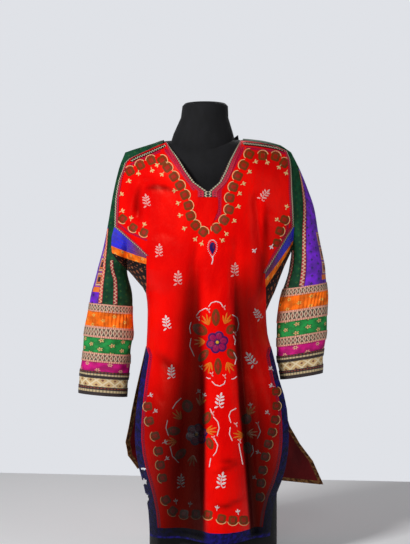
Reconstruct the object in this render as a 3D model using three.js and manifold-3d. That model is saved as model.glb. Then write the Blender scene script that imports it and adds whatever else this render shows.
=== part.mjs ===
// An embroidered silk robe on a limbless dress form, modelled as separate pieces of cloth.
// Millimetres. X runs to the right as seen from the front, Y to the back, Z up from the floor.
// Every piece of cloth is a thin wall: points on its outer face, moved in by its thickness.
import * as THREE from 'three';
import { mergeVertices } from 'three/addons/utils/BufferGeometryUtils.js';
import Module from 'manifold-3d';

const wasm = await Module();
wasm.setup();

// Cloth sizes
const CLOTH = 1.8;
const TRIM = 1.2;
const SEAM = 0.4;
const SEAT = 0.5;

// Body of the robe
const MIDDLE_X = -8;
const SHOULDER_ROUND = 100;
const ARMHOLE_BLEND = 105;
const LAYERS = 2.5;
const GROOVE = 14;
const NORMAL_REACH = 6;
const UNDERARM_TURN = 60;
const GORE_TURN = { reach: 30, deep: 15, share: 0.85 };
const FOLD_FADE = 0.18;
const ROUNDNESS = { oval: 0.25, rest: 0.75, power: 1.1 };
const SOFT_REACH = 30;
const HEM_SPREAD = 0.12;
const SLIT_TOP = 527;
const NECK_BOTTOM = { x: -5, z: 903 };
const PANEL_COLUMNS = 12;
const RING_SIDES = 20;
const STRIP_GAP = { trim: 0.4 };

// Cuff bands, as heights above the cuff's lower edge
const BANDS = {
  gold: [0, 22, 43, 54], magenta: [54, 60, 83, 98],
  green: [98, 106, 143, 160], orange: [160, 171, 207, 227],
  edge: [0, 22], stripe: [43, 54, 60], laceLow: [83, 98, 106], laceMiddle: [143, 160, 171], laceTop: [207, 227],
};
const CUFF_LENGTH = 227;

// Outline of the sleeve and shoulder from the front, a row for each height
const LEFT_OUTER = [
  { z: 1012, x: -210 }, { z: 975, x: -225.5 }, { z: 907, x: -242 }, { z: 830, x: -255 },
  { z: 772, x: -266.5 }, { z: 717, x: -281 }, { z: 665, x: -295 }, { z: 577, x: -310.5 },
  { z: 475, x: -325 }, { z: 400, x: -330 },
];
const RIGHT_OUTER = [
  { z: 1017, x: 199 }, { z: 1000, x: 207.5 }, { z: 975, x: 220.5 }, { z: 922, x: 242.5 },
  { z: 867, x: 261 }, { z: 800, x: 272 }, { z: 761, x: 280 }, { z: 712, x: 290 },
  { z: 640, x: 294 }, { z: 522, x: 288 }, { z: 430, x: 279 },
];
const LEFT_INNER = [
  { z: 822, x: -168 }, { z: 757, x: -192 }, { z: 717, x: -207.5 }, { z: 665, x: -198 },
  { z: 577, x: -193 }, { z: 555, x: -191 }, { z: 527, x: -196 }, { z: 475, x: -202.5 },
  { z: 395, x: -209 },
];
const RIGHT_INNER = [
  { z: 822, x: 200 }, { z: 761, x: 203 }, { z: 712, x: 196 }, { z: 655, x: 181 },
  { z: 590, x: 168 }, { z: 557, x: 166 }, { z: 522, x: 166 }, { z: 445, x: 177 },
];

// Side edges of the body below the underarms, as seen from the front
const LEFT_BODY = [
  { z: 717, x: -207.5 }, { z: 691, x: -185 }, { z: 656, x: -160 }, { z: 615, x: -156 },
  { z: 565, x: -157 }, { z: 510, x: -161 }, { z: 457, x: -170 }, { z: 415, x: -176 },
  { z: 352, x: -182.5 }, { z: 302, x: -184 }, { z: 250, x: -177.5 }, { z: 170, x: -157.5 },
  { z: 112, x: -149 }, { z: 60, x: -147 },
];
const RIGHT_BODY = [
  { z: 761, x: 203 }, { z: 717, x: 183 }, { z: 659, x: 161 }, { z: 612, x: 140 },
  { z: 554, x: 144 }, { z: 522, x: 153 }, { z: 485, x: 162 }, { z: 450, x: 169 },
  { z: 415, x: 180 }, { z: 372, x: 188.5 }, { z: 302, x: 192.5 }, { z: 232, x: 184 },
  { z: 145, x: 155 }, { z: 60, x: 145 },
];

// Back panel below the slits: its edges, and the part of its curve that the cloth still spans
const LEFT_BACK = [
  { z: 527, x: -160, span: 1 }, { z: 460, x: -176, span: 0.98 }, { z: 377, x: -195, span: 0.95 },
  { z: 290, x: -212, span: 0.91 }, { z: 262, x: -218, span: 0.9 }, { z: 205, x: -186, span: 0.88 },
];
const RIGHT_BACK = [
  { z: 527, x: 152, span: 1 }, { z: 460, x: 163, span: 0.97 }, { z: 400, x: 178, span: 0.88 },
  { z: 341, x: 198, span: 0.75 }, { z: 291, x: 215, span: 0.65 }, { z: 261, x: 236, span: 0.58 },
  { z: 219, x: 268, span: 0.5 }, { z: 151, x: 299, span: 0.42 },
];

// Ridge of the shoulders along X, and the depth of the body in front and behind
const RIDGE = [
  { x: 215, z: 1004 }, { x: 200, z: 1016 }, { x: 170, z: 1029 }, { x: 125, z: 1039 },
  { x: 75, z: 1043 }, { x: -112, z: 1040 }, { x: -142, z: 1031 }, { x: -175, z: 1021 },
  { x: -210, z: 1010 }, { x: -225, z: 1000 },
];
const FRONT_DEPTH = [
  { z: 1040, x: 118 }, { z: 800, x: 121 }, { z: 600, x: 124 }, { z: 500, x: 128 },
  { z: 400, x: 138 }, { z: 300, x: 148 }, { z: 200, x: 157 }, { z: 60, x: 166 },
];
const BACK_DEPTH = [
  { z: 1040, x: 116 }, { z: 700, x: 120 }, { z: 527, x: 125 }, { z: 400, x: 138 },
  { z: 300, x: 155 }, { z: 150, x: 176 },
];
const SLEEVE_DEPTH = [{ z: 770, x: 44 }, { z: 600, x: 36 }, { z: 400, x: 31 }];
const SLEEVE_BACK_SET = [{ z: 770, x: 0 }, { z: 600, x: 8 }, { z: 400, x: 14 }];

// Largest folds: a line down the cloth, half widths and depths at its two ends, minus outwards
const FRONT_FOLDS = [
  { x1: -30, z1: 770, x2: -68, z2: 70, half1: 16, half2: 46, deep1: 6, deep2: 46 },
  { x1: 62, z1: 720, x2: 108, z2: 70, half1: 10, half2: 26, deep1: 5, deep2: 20 },
  { x1: 20, z1: 640, x2: 28, z2: 70, half1: 26, half2: 48, deep1: -2, deep2: -10 },
  { x1: 140, z1: 560, x2: 150, z2: 300, half1: 16, half2: 24, deep1: -2, deep2: -5 },
  { x1: -160, z1: 930, x2: -178, z2: 845, half1: 12, half2: 16, deep1: 8, deep2: 14 },
  { x1: 112, z1: 880, x2: 130, z2: 700, half1: 12, half2: 14, deep1: 7, deep2: 9 },
];
const BACK_FOLDS = [
  { x1: -60, z1: 700, x2: -90, z2: 180, half1: 20, half2: 40, deep1: 4, deep2: 22 },
  { x1: 50, z1: 700, x2: 80, z2: 180, half1: 20, half2: 44, deep1: 4, deep2: 26 },
];

// Armhole seam of each side, from the top of the gore to the underarm, as seen from the front
const LEFT_ARMHOLE = [
  { x: -237.5, z: 822 }, { x: -244, z: 798 }, { x: -244.5, z: 775 }, { x: -242, z: 757 },
  { x: -231, z: 740 }, { x: -219, z: 728 }, { x: -207.5, z: 717 },
];
const RIGHT_ARMHOLE = [
  { x: 207.5, z: 822 }, { x: 206.8, z: 803 }, { x: 206, z: 788 }, { x: 205.4, z: 779 },
  { x: 204.2, z: 772 }, { x: 203.4, z: 766 }, { x: 203, z: 761 },
];
// Heights at which the lines between the gore's bands end on the panel edge
const LEFT_GORE = [750, 743, 729, 717, 656];
const RIGHT_GORE = [707, 692, 672, 650, 612];

// The side edges of the front and back panels above the waist, a row for each section
const UPPER_SECTIONS = [
  { zl: 560, xl: null, zr: 555, xr: null }, { zl: 590, xl: null, zr: 583, xr: null },
  { zl: 615, xl: null, zr: 612, xr: 140 }, { zl: 636, xl: null, zr: 631, xr: 138.5 },
  { zl: 656, xl: -160, zr: 650, xr: 137 }, { zl: 671, xl: -157, zr: 661, xr: 136.5 },
  { zl: 686, xl: -155.5, zr: 672, xr: 136 }, { zl: 702, xl: -155, zr: 682, xr: 135.5 },
  { zl: 717, xl: -155, zr: 692, xr: 135 }, { zl: 729, xl: -155, zr: 697, xr: 135 },
  { zl: 743, xl: -155, zr: 702, xr: 135 }, { zl: 750, xl: -155, zr: 707, xr: 135 },
  { zl: 772, xl: -178, zr: 737, xr: 153 }, { zl: 790, xl: -199, zr: 767, xr: 172 },
  { zl: 806, xl: -218, zr: 796, xr: 190 }, { zl: 822, xl: -237.5, zr: 822, xr: 207.5 },
  { zl: 839, xl: -237.3, zr: 839, xr: 206.2 }, { zl: 856, xl: -237, zr: 856, xr: 205 },
  { zl: 890, xl: -236, zr: 890, xr: 203.5 },
  { zl: 912, xl: -233, zr: 912, xr: 202.5 }, { zl: 940, xl: -227, zr: 940, xr: 202 },
  { zl: 967, xl: -217, zr: 967, xr: 201.5 }, { zl: 981, xl: -212, zr: 990, xr: 199.5 },
  { zl: 991, xl: -202, zr: 1011, xr: 192 }, { zl: 1002, xl: -175, zr: 1022, xr: 165 },
  { zl: 1013, xl: -147, zr: 1029, xr: 125 }, { zl: 1025, xl: -118, zr: 1033, xr: 86 },
];
// The front neckline beside the last sections, and the shoulder line that the green band turns over
const NECK_SECTIONS = [
  { zl: 903, xl: -5, zr: 903, xr: -5 }, { zl: 925, xl: -36, zr: 925, xr: 20 },
  { zl: 952, xl: -56, zr: 952, xr: 34 }, { zl: 975, xl: -70, zr: 978, xr: 45 },
  { zl: 992, xl: -81, zr: 1001, xr: 57 }, { zl: 1006, xl: -92, zr: 1014, xr: 64 },
  { zl: 1018, xl: -100, zr: 1024, xr: 70 }, { zl: 1030, xl: -108, zr: 1034, xr: 75 },
];

// Reads a column of a table by another column, which falls from row to row, as a smooth curve
function readTable(rows, at, key = 'x', by = 'z') {
  const last = rows.length - 1;
  if (at >= rows[0][by]) return rows[0][key];
  if (at <= rows[last][by]) return rows[last][key];
  let i = 0;
  while (rows[i + 1][by] > at) i += 1;
  const slope = (k) => (rows[k + 1][key] - rows[k][key]) / (rows[k + 1][by] - rows[k][by]);
  const bend = (k) => {
    if (k === 0) return slope(0);
    if (k === last) return slope(last - 1);
    const [up, down] = [slope(k - 1), slope(k)];
    return down * up <= 0 ? 0 : (2 * down * up) / (down + up);
  };
  const run = rows[i + 1][by] - rows[i][by];
  const t = (at - rows[i][by]) / run;
  const ease = t * t * (3 - 2 * t);
  const hold = t * (1 - t) * run;
  const level = rows[i][key] * (1 - ease) + rows[i + 1][key] * ease;
  return level + hold * (bend(i) * (1 - t) - bend(i + 1) * t);
}

const lerp = (a, b, t) => a + (b - a) * t;
const clamp01 = (t) => Math.min(1, Math.max(0, t));
const smooth = (t) => clamp01(t) ** 2 * (3 - 2 * clamp01(t));
const lobe = (u) => Math.sqrt(Math.max(0, 1 - u * u));

// The two halves of the robe, with what differs between them
const LEFT = {
  name: 'left', sign: -1, outer: LEFT_OUTER, inner: LEFT_INNER, body: LEFT_BODY, back: LEFT_BACK,
  armhole: LEFT_ARMHOLE, gore: LEFT_GORE, underarm: LEFT_ARMHOLE[6],
  bandTop: 822, seamEase: 1, cuff: 402, tilt: -0.085, braidHalf: 4.5,
  seams: { outerFront: 63, innerFront: 105, outerBack: 63, innerBack: 105 },
};
const RIGHT = {
  name: 'right', sign: 1, outer: RIGHT_OUTER, inner: RIGHT_INNER, body: RIGHT_BODY, back: RIGHT_BACK,
  armhole: RIGHT_ARMHOLE, gore: RIGHT_GORE, underarm: RIGHT_ARMHOLE[6],
  bandTop: 967, seamEase: 0.55, cuff: 449, tilt: -0.16, braidHalf: 5.5,
  seams: { outerFront: 105, innerFront: 150, outerBack: 60, innerBack: 120 },
};
const sideOf = (x) => (x < MIDDLE_X ? LEFT : RIGHT);

// How deep the folds are at a place on the front or the back
function foldAt(folds, x, z) {
  let sum = 0;
  for (const f of folds) {
    const t = (f.z1 - z) / (f.z1 - f.z2);
    const along = clamp01(t);
    const half = lerp(f.half1, f.half2, along);
    const off = (x - lerp(f.x1, f.x2, along)) / half;
    const fade = smooth((t + FOLD_FADE) / FOLD_FADE) * smooth((1 + FOLD_FADE - t) / FOLD_FADE);
    sum += lerp(f.deep1, f.deep2, along) * Math.exp(-off * off) * fade;
  }
  return sum;
}

// Half width of the body's curve, which runs on past the free edges below the slits
function bodyHalf(z, side, isBack) {
  const below = clamp01((SLIT_TOP - z) / 200);
  if (isBack && z < SLIT_TOP) {
    return Math.abs(readTable(side.back, z) - MIDDLE_X) / readTable(side.back, z, 'span');
  }
  return Math.abs(readTable(side.body, z) - MIDDLE_X) / (1 - HEM_SPREAD * smooth(below));
}

function shoulderRound(x, z) {
  const q = clamp01((readTable(RIDGE, x, 'z', 'x') - z) / SHOULDER_ROUND);
  return Math.sqrt(2 * q - q * q);
}

// Distance of the cloth's outer face from the robe's middle plane at a place in the front view
function halfDepth(x, z, isBack) {
  const side = sideOf(x);
  const { underarm } = side;
  const full = readTable(isBack ? BACK_DEPTH : FRONT_DEPTH, z);
  const fold = foldAt(isBack ? BACK_FOLDS : FRONT_FOLDS, x, z);
  if (z <= underarm.z) {
    const u = (x - MIDDLE_X) / bodyHalf(z, side, isBack);
    return Math.max(0, full * lobe(u) - fold * smooth(3 * (1 - Math.abs(u))));
  }
  const outerX = readTable(side.outer, z);
  const u = Math.abs((x - MIDDLE_X) / (outerX - MIDDLE_X));
  const round = shoulderRound(x, z);
  const rest = Math.max(0, 1 - u * u) ** ROUNDNESS.power;
  const wide = full * (ROUNDNESS.oval * lobe(u) + ROUNDNESS.rest * rest);
  const inBody = Math.abs(x - MIDDLE_X) < Math.abs(underarm.x - MIDDLE_X);
  const armMiddle = (outerX + underarm.x) / 2;
  const pinched = inBody
    ? full * lobe((x - MIDDLE_X) / (underarm.x - MIDDLE_X))
    : readTable(SLEEVE_DEPTH, z) * lobe((x - armMiddle) / (outerX - armMiddle));
  const soft = GROOVE * smooth((z - underarm.z) / SOFT_REACH) * clamp01(3 - 3 * u);
  const mixed = lerp(pinched, wide, smooth((z - underarm.z) / ARMHOLE_BLEND));
  const depth = Math.hypot(mixed, soft) * round;
  const least = u < 0.9 ? LAYERS * smooth(round * 4) : 0;
  return Math.max(least, depth - fold * smooth(3 * (1 - u)) * round);
}

// A point of the body's outer face with its outward direction
function onBody({ x, z }, isBack) {
  const step = NORMAL_REACH;
  const squared = (px, pz) => halfDepth(px, pz, isBack) ** 2;
  const depth = halfDepth(x, z, isBack);
  const facing = isBack ? 1 : -1;
  const n = new THREE.Vector3(
    (squared(x - step, z) - squared(x + step, z)) / (2 * step),
    2 * depth * facing,
    (squared(x, z - step) - squared(x, z + step)) / (2 * step),
  );
  if (n.length() < 1e-6) n.set(x - MIDDLE_X, 0, 0);
  return { p: new THREE.Vector3(x, depth * facing, z), n: n.normalize() };
}

// Middle and half width of a sleeve at a height, and a point round it: 0 is the outer line,
// 90 the front, 180 the inner line and -90 the back
function sleeveSpan(side, z) {
  const outerX = readTable(side.outer, z);
  const innerX = readTable(side.inner, z);
  return { middle: (outerX + innerX) / 2, half: (outerX - innerX) / 2 };
}

function sleeveFlat(side, angle, level) {
  const turn = THREE.MathUtils.degToRad(angle);
  const start = sleeveSpan(side, level);
  const tilt = side.tilt * smooth((side.underarm.z - level) / 90);
  const z = level + tilt * Math.abs(start.half) * Math.cos(turn) * -1;
  const { middle, half } = sleeveSpan(side, z);
  return { x: middle + half * Math.cos(turn), z, turn };
}

function onSleeve(side, angle, level) {
  const { x, z, turn } = sleeveFlat(side, angle, level);
  const depth = readTable(SLEEVE_DEPTH, z);
  const set = readTable(SLEEVE_BACK_SET, z);
  const y = set - depth * Math.sin(turn);
  const shape = (pz) => {
    const span = sleeveSpan(side, pz);
    const across = (x - span.middle) / span.half;
    const through = (y - readTable(SLEEVE_BACK_SET, pz)) / readTable(SLEEVE_DEPTH, pz);
    return across ** 2 + through ** 2;
  };
  const { half } = sleeveSpan(side, z);
  const n = new THREE.Vector3(
    (2 * Math.cos(turn)) / half,
    (-2 * Math.sin(turn)) / depth,
    (shape(z + 1) - shape(z - 1)) / 2,
  ).normalize();
  if (z <= side.underarm.z) return { p: new THREE.Vector3(x, y, z), n };
  const body = onBody({ x, z }, Math.sin(turn) < 0);
  const share = smooth((z - side.underarm.z) / UNDERARM_TURN);
  return { p: body.p, n: n.lerp(body.n, share).normalize() };
}

const angleOf = (side, { x, z }) => {
  const { middle, half } = sleeveSpan(side, z);
  return THREE.MathUtils.radToDeg(Math.acos(Math.max(-1, Math.min(1, (x - middle) / half))));
};

// Points evenly or unevenly spaced between two places in a flat view
const between = (a, b, t) => {
  const point = {};
  for (const key of Object.keys(a)) point[key] = lerp(a[key], b[key], t);
  return point;
};

// A net of flat places filled in between its four edges, each listed from left to right or upwards
function patch(top, bottom, left, right) {
  const [rows, columns] = [left.length - 1, top.length - 1];
  return left.map((_, i) => top.map((__, j) => {
    const [s, t] = [j / columns, i / rows];
    const place = {};
    for (const key of Object.keys(top[0])) {
      const acrossEdges = lerp(bottom[j][key], top[j][key], t);
      const sideEdges = lerp(left[i][key], right[i][key], s);
      const lower = lerp(left[0][key], right[0][key], s);
      const upper = lerp(left[rows][key], right[rows][key], s);
      const corners = lerp(lower, upper, t);
      place[key] = acrossEdges + sideEdges - corners;
    }
    return place;
  }));
}

// Joins grids of outer points into one closed wall. Rows run upwards and columns to the right,
// seen from outside. The wall lies between two offsets from the points, and its free edges are
// drawn in by half a seam.
function wall(grids, { outside = 0, inside = -CLOTH, trim = SEAM / 2 } = {}) {
  const points = [];
  const faces = [];
  const index = new Map();
  const vertex = (point) => {
    const key = point.p.toArray().map((value) => value.toFixed(3)).join(' ');
    if (!index.has(key)) index.set(key, points.push(point) - 1);
    return index.get(key);
  };
  const face = (a, b, c) => {
    if (a !== b && b !== c && c !== a) faces.push([a, b, c]);
  };
  for (const grid of grids) {
    for (let i = 0; i + 1 < grid.length; i += 1) {
      for (let j = 0; j + 1 < grid[i].length; j += 1) {
        const [a, b] = [vertex(grid[i][j]), vertex(grid[i][j + 1])];
        const [c, d] = [vertex(grid[i + 1][j + 1]), vertex(grid[i + 1][j])];
        face(a, b, c);
        face(a, c, d);
      }
    }
  }
  const edges = new Map();
  for (const [a, b, c] of faces) {
    for (const [from, to] of [[a, b], [b, c], [c, a]]) edges.set(`${from} ${to}`, [from, to]);
  }
  const free = [...edges.values()].filter(([from, to]) => !edges.has(`${to} ${from}`));
  const inwards = points.map(() => []);
  for (const [from, to] of free) {
    const along = points[to].p.clone().sub(points[from].p).normalize();
    for (const end of [from, to]) inwards[end].push(points[end].n.clone().cross(along).normalize());
  }
  const place = points.map(({ p, n }, k) => {
    const sum = inwards[k].reduce((total, v) => total.add(v), new THREE.Vector3());
    const spread = Math.max(0.5, sum.lengthSq() / Math.max(1, inwards[k].length));
    const moved = p.clone().addScaledVector(sum, trim / spread);
    return [moved.clone().addScaledVector(n, outside), moved.addScaledVector(n, inside)];
  });
  const positions = place.flatMap(([outer, inner]) => [...outer.toArray(), ...inner.toArray()]);
  const triangles = faces.flatMap(([a, b, c]) => [2 * a, 2 * b, 2 * c, 2 * a + 1, 2 * c + 1, 2 * b + 1]);
  for (const [a, b] of free) {
    triangles.push(2 * a + 1, 2 * b + 1, 2 * b, 2 * a + 1, 2 * b, 2 * a);
  }
  const geometry = new THREE.BufferGeometry();
  geometry.setAttribute('position', new THREE.Float32BufferAttribute(positions, 3));
  geometry.setIndex(triangles);
  return geometry;
}

const ON_TOP = { outside: 0.4 + TRIM, inside: 0.4, trim: 0 };

const mapGrid = (grid, put) => grid.map((row) => row.map(put));
const onFront = (place) => onBody(place, false);
const onBack = (place) => onBody(place, true);

// Bindings on the free edges of the skirt
const SLIT_BINDING = [{ z: 524, x: 1.5 }, { z: 505, x: 12 }, { z: 300, x: 17 }, { z: 68, x: 22 }];
const BACK_BINDING = 10;
const SKIRT_LEVELS = [93, 130, 165, 200, 235, 270, 305, 340, 375, 410, 445, 478, 505, 524];
const FRONT_HEM = 68;

function panelEdge(side, z) {
  const bound = z < SLIT_TOP ? readTable(SLIT_BINDING, z) : 0;
  return { x: readTable(side.body, z) - side.sign * bound, z };
}

// Edge places of the front panel, from the hem to the neck
const upperEdge = (side) => UPPER_SECTIONS.map((row) => {
  const [z, x] = side === LEFT ? [row.zl, row.xl] : [row.zr, row.xr];
  return { x: x ?? readTable(side.body, z), z };
});
const frontEdge = (side) => [...SKIRT_LEVELS.map((z) => panelEdge(side, z)), ...upperEdge(side)];

// Middle places of a panel: one line up to the neckline, then one for each side of the neck
function middleLine(edgeLeft, edgeRight, neck, side) {
  const shared = edgeLeft.length - neck.length;
  return edgeLeft.map((left, k) => {
    const right = edgeRight[k];
    if (k < shared) return { x: neck[0].xl, z: (left.z + right.z) / 2 };
    const row = neck[k - shared];
    return side === LEFT ? { x: row.xl, z: row.zl } : { x: row.xr, z: row.zr };
  });
}

// Half of a panel, from its side edge to its middle line, closer together at the side
function halfPanel(edge, middle, columns, side, put) {
  const flat = edge.map((start, k) => Array.from({ length: columns + 1 }, (_, j) => {
    const t = j / columns;
    return between(start, middle[k], lerp(t, 1 - Math.cos((t * Math.PI) / 2), 0.5));
  }));
  const seenFromLeft = (side === LEFT) === (put === onFront);
  return mapGrid(seenFromLeft ? flat : flat.map((row) => [...row].reverse()), put);
}

const frontPanel = () => wall([LEFT, RIGHT].map(frontHalf));

// The back panel's sections: slanted hem, side seams, armholes, then the shoulder band's edge
const BACK_HEM = { left: 205, right: 151 };
const BACK_LEVELS = [
  { zl: 240, zr: 215 }, { zl: 275, zr: 262 }, { zl: 315, zr: 310 }, { zl: 360, zr: 360 },
  { zl: 410, zr: 410 }, { zl: 460, zr: 460 }, { zl: 524, zr: 524 }, { zl: 560, zr: 555 },
  { zl: 590, zr: 583 }, { zl: 615, zr: 597 }, { zl: 636, zr: 605 }, { zl: 656, zr: 612 },
  { zl: 671, zr: 650 }, { zl: 686, zr: 687 }, { zl: 702, zr: 724 },
];
const BACK_NECK = [
  { zl: 1014, xl: -12, zr: 1014, xr: -12 }, { zl: 1016, xl: -55, zr: 1017, xr: 24 },
  { zl: 1021, xl: -92, zr: 1025, xr: 58 }, { zl: 1028, xl: -106, zr: 1033, xr: 75 },
];
const BACK_COLUMNS = 8;

function backEdge(side) {
  const level = (row) => (side === LEFT ? row.zl : row.zr);
  const skirt = BACK_LEVELS.map((row) => {
    const z = level(row);
    const free = z < SLIT_TOP;
    const x = free ? readTable(side.back, z) - side.sign * BACK_BINDING : readTable(side.body, z);
    return { x, z };
  });
  const hem = BACK_HEM[side.name];
  const cornerZ = hem + BACK_BINDING;
  const corner = { x: readTable(side.back, cornerZ) - side.sign * BACK_BINDING, z: cornerZ };
  const armhole = [...side.armhole].reverse();
  const above = upperEdge(side).filter((place) => place.z > side.armhole[0].z);
  return [corner, ...skirt, ...armhole, ...above];
}

function backPanel() {
  const [left, right] = [backEdge(LEFT), backEdge(RIGHT)];
  return wall([LEFT, RIGHT].map((side) => halfPanel(
    side === LEFT ? left : right,
    middleLine(left, right, BACK_NECK, side),
    BACK_COLUMNS,
    side,
    onBack,
  )));
}

// Shoulder line places beside the panel's edge places, from the band's lower end to the neck
const SHOULDER_LINE = {
  left: [{ x: -212, z: 1009 }, { x: -183, z: 1018.5 }, { x: -150, z: 1028.5 }, { x: -115, z: 1039.8 }],
  right: [{ x: 203, z: 1009 }, { x: 176, z: 1027 }, { x: 130, z: 1038 }, { x: 82, z: 1042.5 }],
};
const BAND_TURNS = [1, 2 / 3, 1 / 3, 0];
const turnIn = (silhouette, edge, a) => between(silhouette, edge, 1 - Math.cos((a * Math.PI) / 2));

function bandSections(side) {
  const edges = upperEdge(side).filter((place) => place.z >= side.bandTop);
  const tips = SHOULDER_LINE[side.name];
  return edges.map((edge, k) => {
    const tip = tips[k - (edges.length - tips.length)];
    return { edge, silhouette: tip ?? { x: readTable(side.outer, edge.z), z: edge.z } };
  });
}

function shoulderBand(side) {
  const grid = bandSections(side).map(({ edge, silhouette }) => {
    const front = BAND_TURNS.map((a) => onFront(turnIn(silhouette, edge, a)));
    const back = BAND_TURNS.slice(0, 3).map((a) => onBack(turnIn(silhouette, edge, a)));
    const round = [...back, ...[...front].reverse()];
    return side === LEFT ? round : round.reverse();
  });
  return wall([grid]);
}

// The gore under the arm: four bands between lines that fan out from the armhole
function goreLines(side) {
  const { armhole, gore, underarm } = side;
  const starts = [armhole[0], armhole[2], armhole[3], armhole[4], underarm];
  const steps = [0, 0.25, 0.5, 0.75, 1];
  const sections = upperEdge(side);
  return starts.map((start, line) => {
    const end = sections.find((place) => place.z === gore[line]);
    if (line === 0) {
      const from = sections.findIndex((place) => place.z === side.armhole[0].z);
      return steps.map((_, k) => sections[from - k]);
    }
    return steps.map((s) => {
      const place = between(start, end, s);
      if (line === 4) return { x: readTable(side.body, place.z), z: place.z };
      return { x: place.x, z: place.z - 5 * line * s * (1 - s) };
    });
  });
}

// A point of the gore, which faces straight forwards where it folds in at the armhole
function besideArmhole(side, place) {
  const { p, n } = onFront(place);
  const gap = Math.min(...side.armhole.map(({ x, z }) => Math.hypot(place.x - x, place.z - z)));
  const share = GORE_TURN.share * smooth(1 - gap / GORE_TURN.reach) * smooth(-p.y / GORE_TURN.deep);
  return { p, n: n.lerp(new THREE.Vector3(0, -1, 0), share).normalize() };
}

function goreGrid(side, band) {
  const lines = goreLines(side);
  const [top, bottom] = [lines[band], lines[band + 1]];
  const { armhole, gore } = side;
  const panel = upperEdge(side).filter(({ z }) => z >= gore[4] && z <= gore[0]).reverse();
  const ends = gore.map((z) => panel.findIndex((place) => place.z === z));
  const armEnds = [[0, 1, 2], [2, 3], [3, 4], [4, 5, 6]][band].map((k) => armhole[k]);
  const panelEnds = panel.slice(ends[band], ends[band + 1] + 1);
  const steps = Math.max(armEnds.length, panelEnds.length) - 1;
  const resample = (list) => Array.from({ length: steps + 1 }, (_, k) => {
    const at = ((list.length - 1) * k) / steps;
    const low = Math.min(list.length - 2, Math.floor(at));
    return between(list[low], list[low + 1], at - low);
  }).reverse();
  const flat = patch(top, bottom, resample(armEnds), resample(panelEnds));
  const put = (place) => besideArmhole(side, place);
  return mapGrid(side === LEFT ? flat : flat.map((row) => [...row].reverse()), put);
}

// Sleeve strips, as angles round the sleeve at heights
const stripTop = (side) => side.cuff + CUFF_LENGTH;

// A place on the shoulder band's lower edge, between the outer line (0) and the panel edge (1)
function bandCorner(side, a) {
  const edge = upperEdge(side).find(({ z }) => z === side.bandTop);
  return turnIn({ x: readTable(side.outer, side.bandTop), z: side.bandTop }, edge, a);
}

function outerSeam(side, z, isBack) {
  const [front, back] = [side.seams.outerFront, side.seams.outerBack];
  const top = angleOf(side, bandCorner(side, 1 / 3));
  const t = clamp01((side.bandTop - z) / (side.bandTop - side.underarm.z)) ** side.seamEase;
  return isBack ? -lerp(top, back, t) : lerp(top, front, t);
}

function innerSeam(side, z, isBack) {
  const start = side.armhole[3];
  const t = clamp01((start.z - z) / 60);
  const angle = lerp(angleOf(side, start), isBack ? side.seams.innerBack : side.seams.innerFront, t);
  return isBack ? -angle : angle;
}

// Places on the inner edge of the green strip: panel edge, armhole, then the lower seam
function stripEdge(side, isBack) {
  const facing = isBack ? -1 : 1;
  const above = upperEdge(side)
    .filter(({ z }) => z > side.armhole[0].z && z <= side.bandTop)
    .reverse();
  const seam = [...above, ...side.armhole.slice(0, 4)]
    .map((place) => ({ angle: facing * angleOf(side, place), level: place.z }));
  const start = side.armhole[3].z;
  const drop = start - stripTop(side);
  const lower = [0.14, 0.3, 0.5, 0.75, 1]
    .map((t) => start - t * drop)
    .map((level) => ({ angle: innerSeam(side, level, isBack), level }));
  return [...seam, ...lower];
}

function sleevePatch(side, flat) {
  const turned = side === LEFT ? flat : flat.map((row) => [...row].reverse());
  return mapGrid(turned, ({ angle, level }) => onSleeve(side, angle, level));
}

function greenGrid(side, isBack) {
  const inner = stripEdge(side, isBack).reverse();
  const outer = inner.map(({ level }) => ({ angle: outerSeam(side, level, isBack), level }));
  const facing = isBack ? -1 : 1;
  const top = BAND_TURNS.slice(0, 3).reverse().map((a) => ({
    angle: facing * angleOf(side, bandCorner(side, a)),
    level: side.bandTop,
  }));
  const bottom = top.map((_, j) => between(outer[0], inner[0], j / (top.length - 1)));
  const flat = patch(top, bottom, outer, inner);
  const rows = isBack ? flat.map((row) => [...row].reverse()) : flat;
  return sleevePatch(side, rows);
}

function purplePanel(side) {
  const levels = stripEdge(side, false).map(({ level }) => level).reverse();
  const grid = levels.map((level) => {
    const [front, back] = [outerSeam(side, level, false), outerSeam(side, level, true)];
    return [-1, -0.66, -0.33, 0, 0.33, 0.66, 1].map((t) => ({
      angle: t < 0 ? -t * back : t * front,
      level,
    }));
  });
  return wall([sleevePatch(side, grid)], STRIP_GAP);
}

function underGrid(side) {
  const frontSeam = stripEdge(side, false).slice(-6).reverse();
  const backSeam = stripEdge(side, true).slice(-6).reverse()
    .map(({ angle, level }) => ({ angle: angle + 360, level }));
  const armhole = side.armhole.slice(3).map((place) => ({ angle: angleOf(side, place), level: place.z }));
  const mirrored = armhole.slice(0, 3).reverse().map(({ angle, level }) => ({ angle: 360 - angle, level }));
  const top = [...armhole, ...mirrored];
  const bottom = top.map((_, j) => between(frontSeam[0], backSeam[0], j / (top.length - 1)));
  return sleevePatch(side, patch(top, bottom, frontSeam, backSeam));
}

// Narrow braids that lie over the seams of the sleeve
function seamBraid(side, isBack, isOuter) {
  const edge = stripEdge(side, isBack);
  const levels = (isOuter ? edge : edge.slice(-6)).map(({ level }) => level);
  const [start, skip] = isOuter ? [levels[0] - 4, 1] : [levels[1], 2];
  const end = levels[levels.length - 1] + 2;
  const grid = [start, ...levels.slice(skip, -1), end].reverse().map((level) => {
    const seam = isOuter ? outerSeam(side, level, isBack) : innerSeam(side, level, isBack);
    const spread = THREE.MathUtils.radToDeg(side.braidHalf / 42);
    return [-spread, 0, spread].map((off) => ({ angle: seam + off, level }));
  });
  return wall([sleevePatch(side, grid)], ON_TOP);
}

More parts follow.
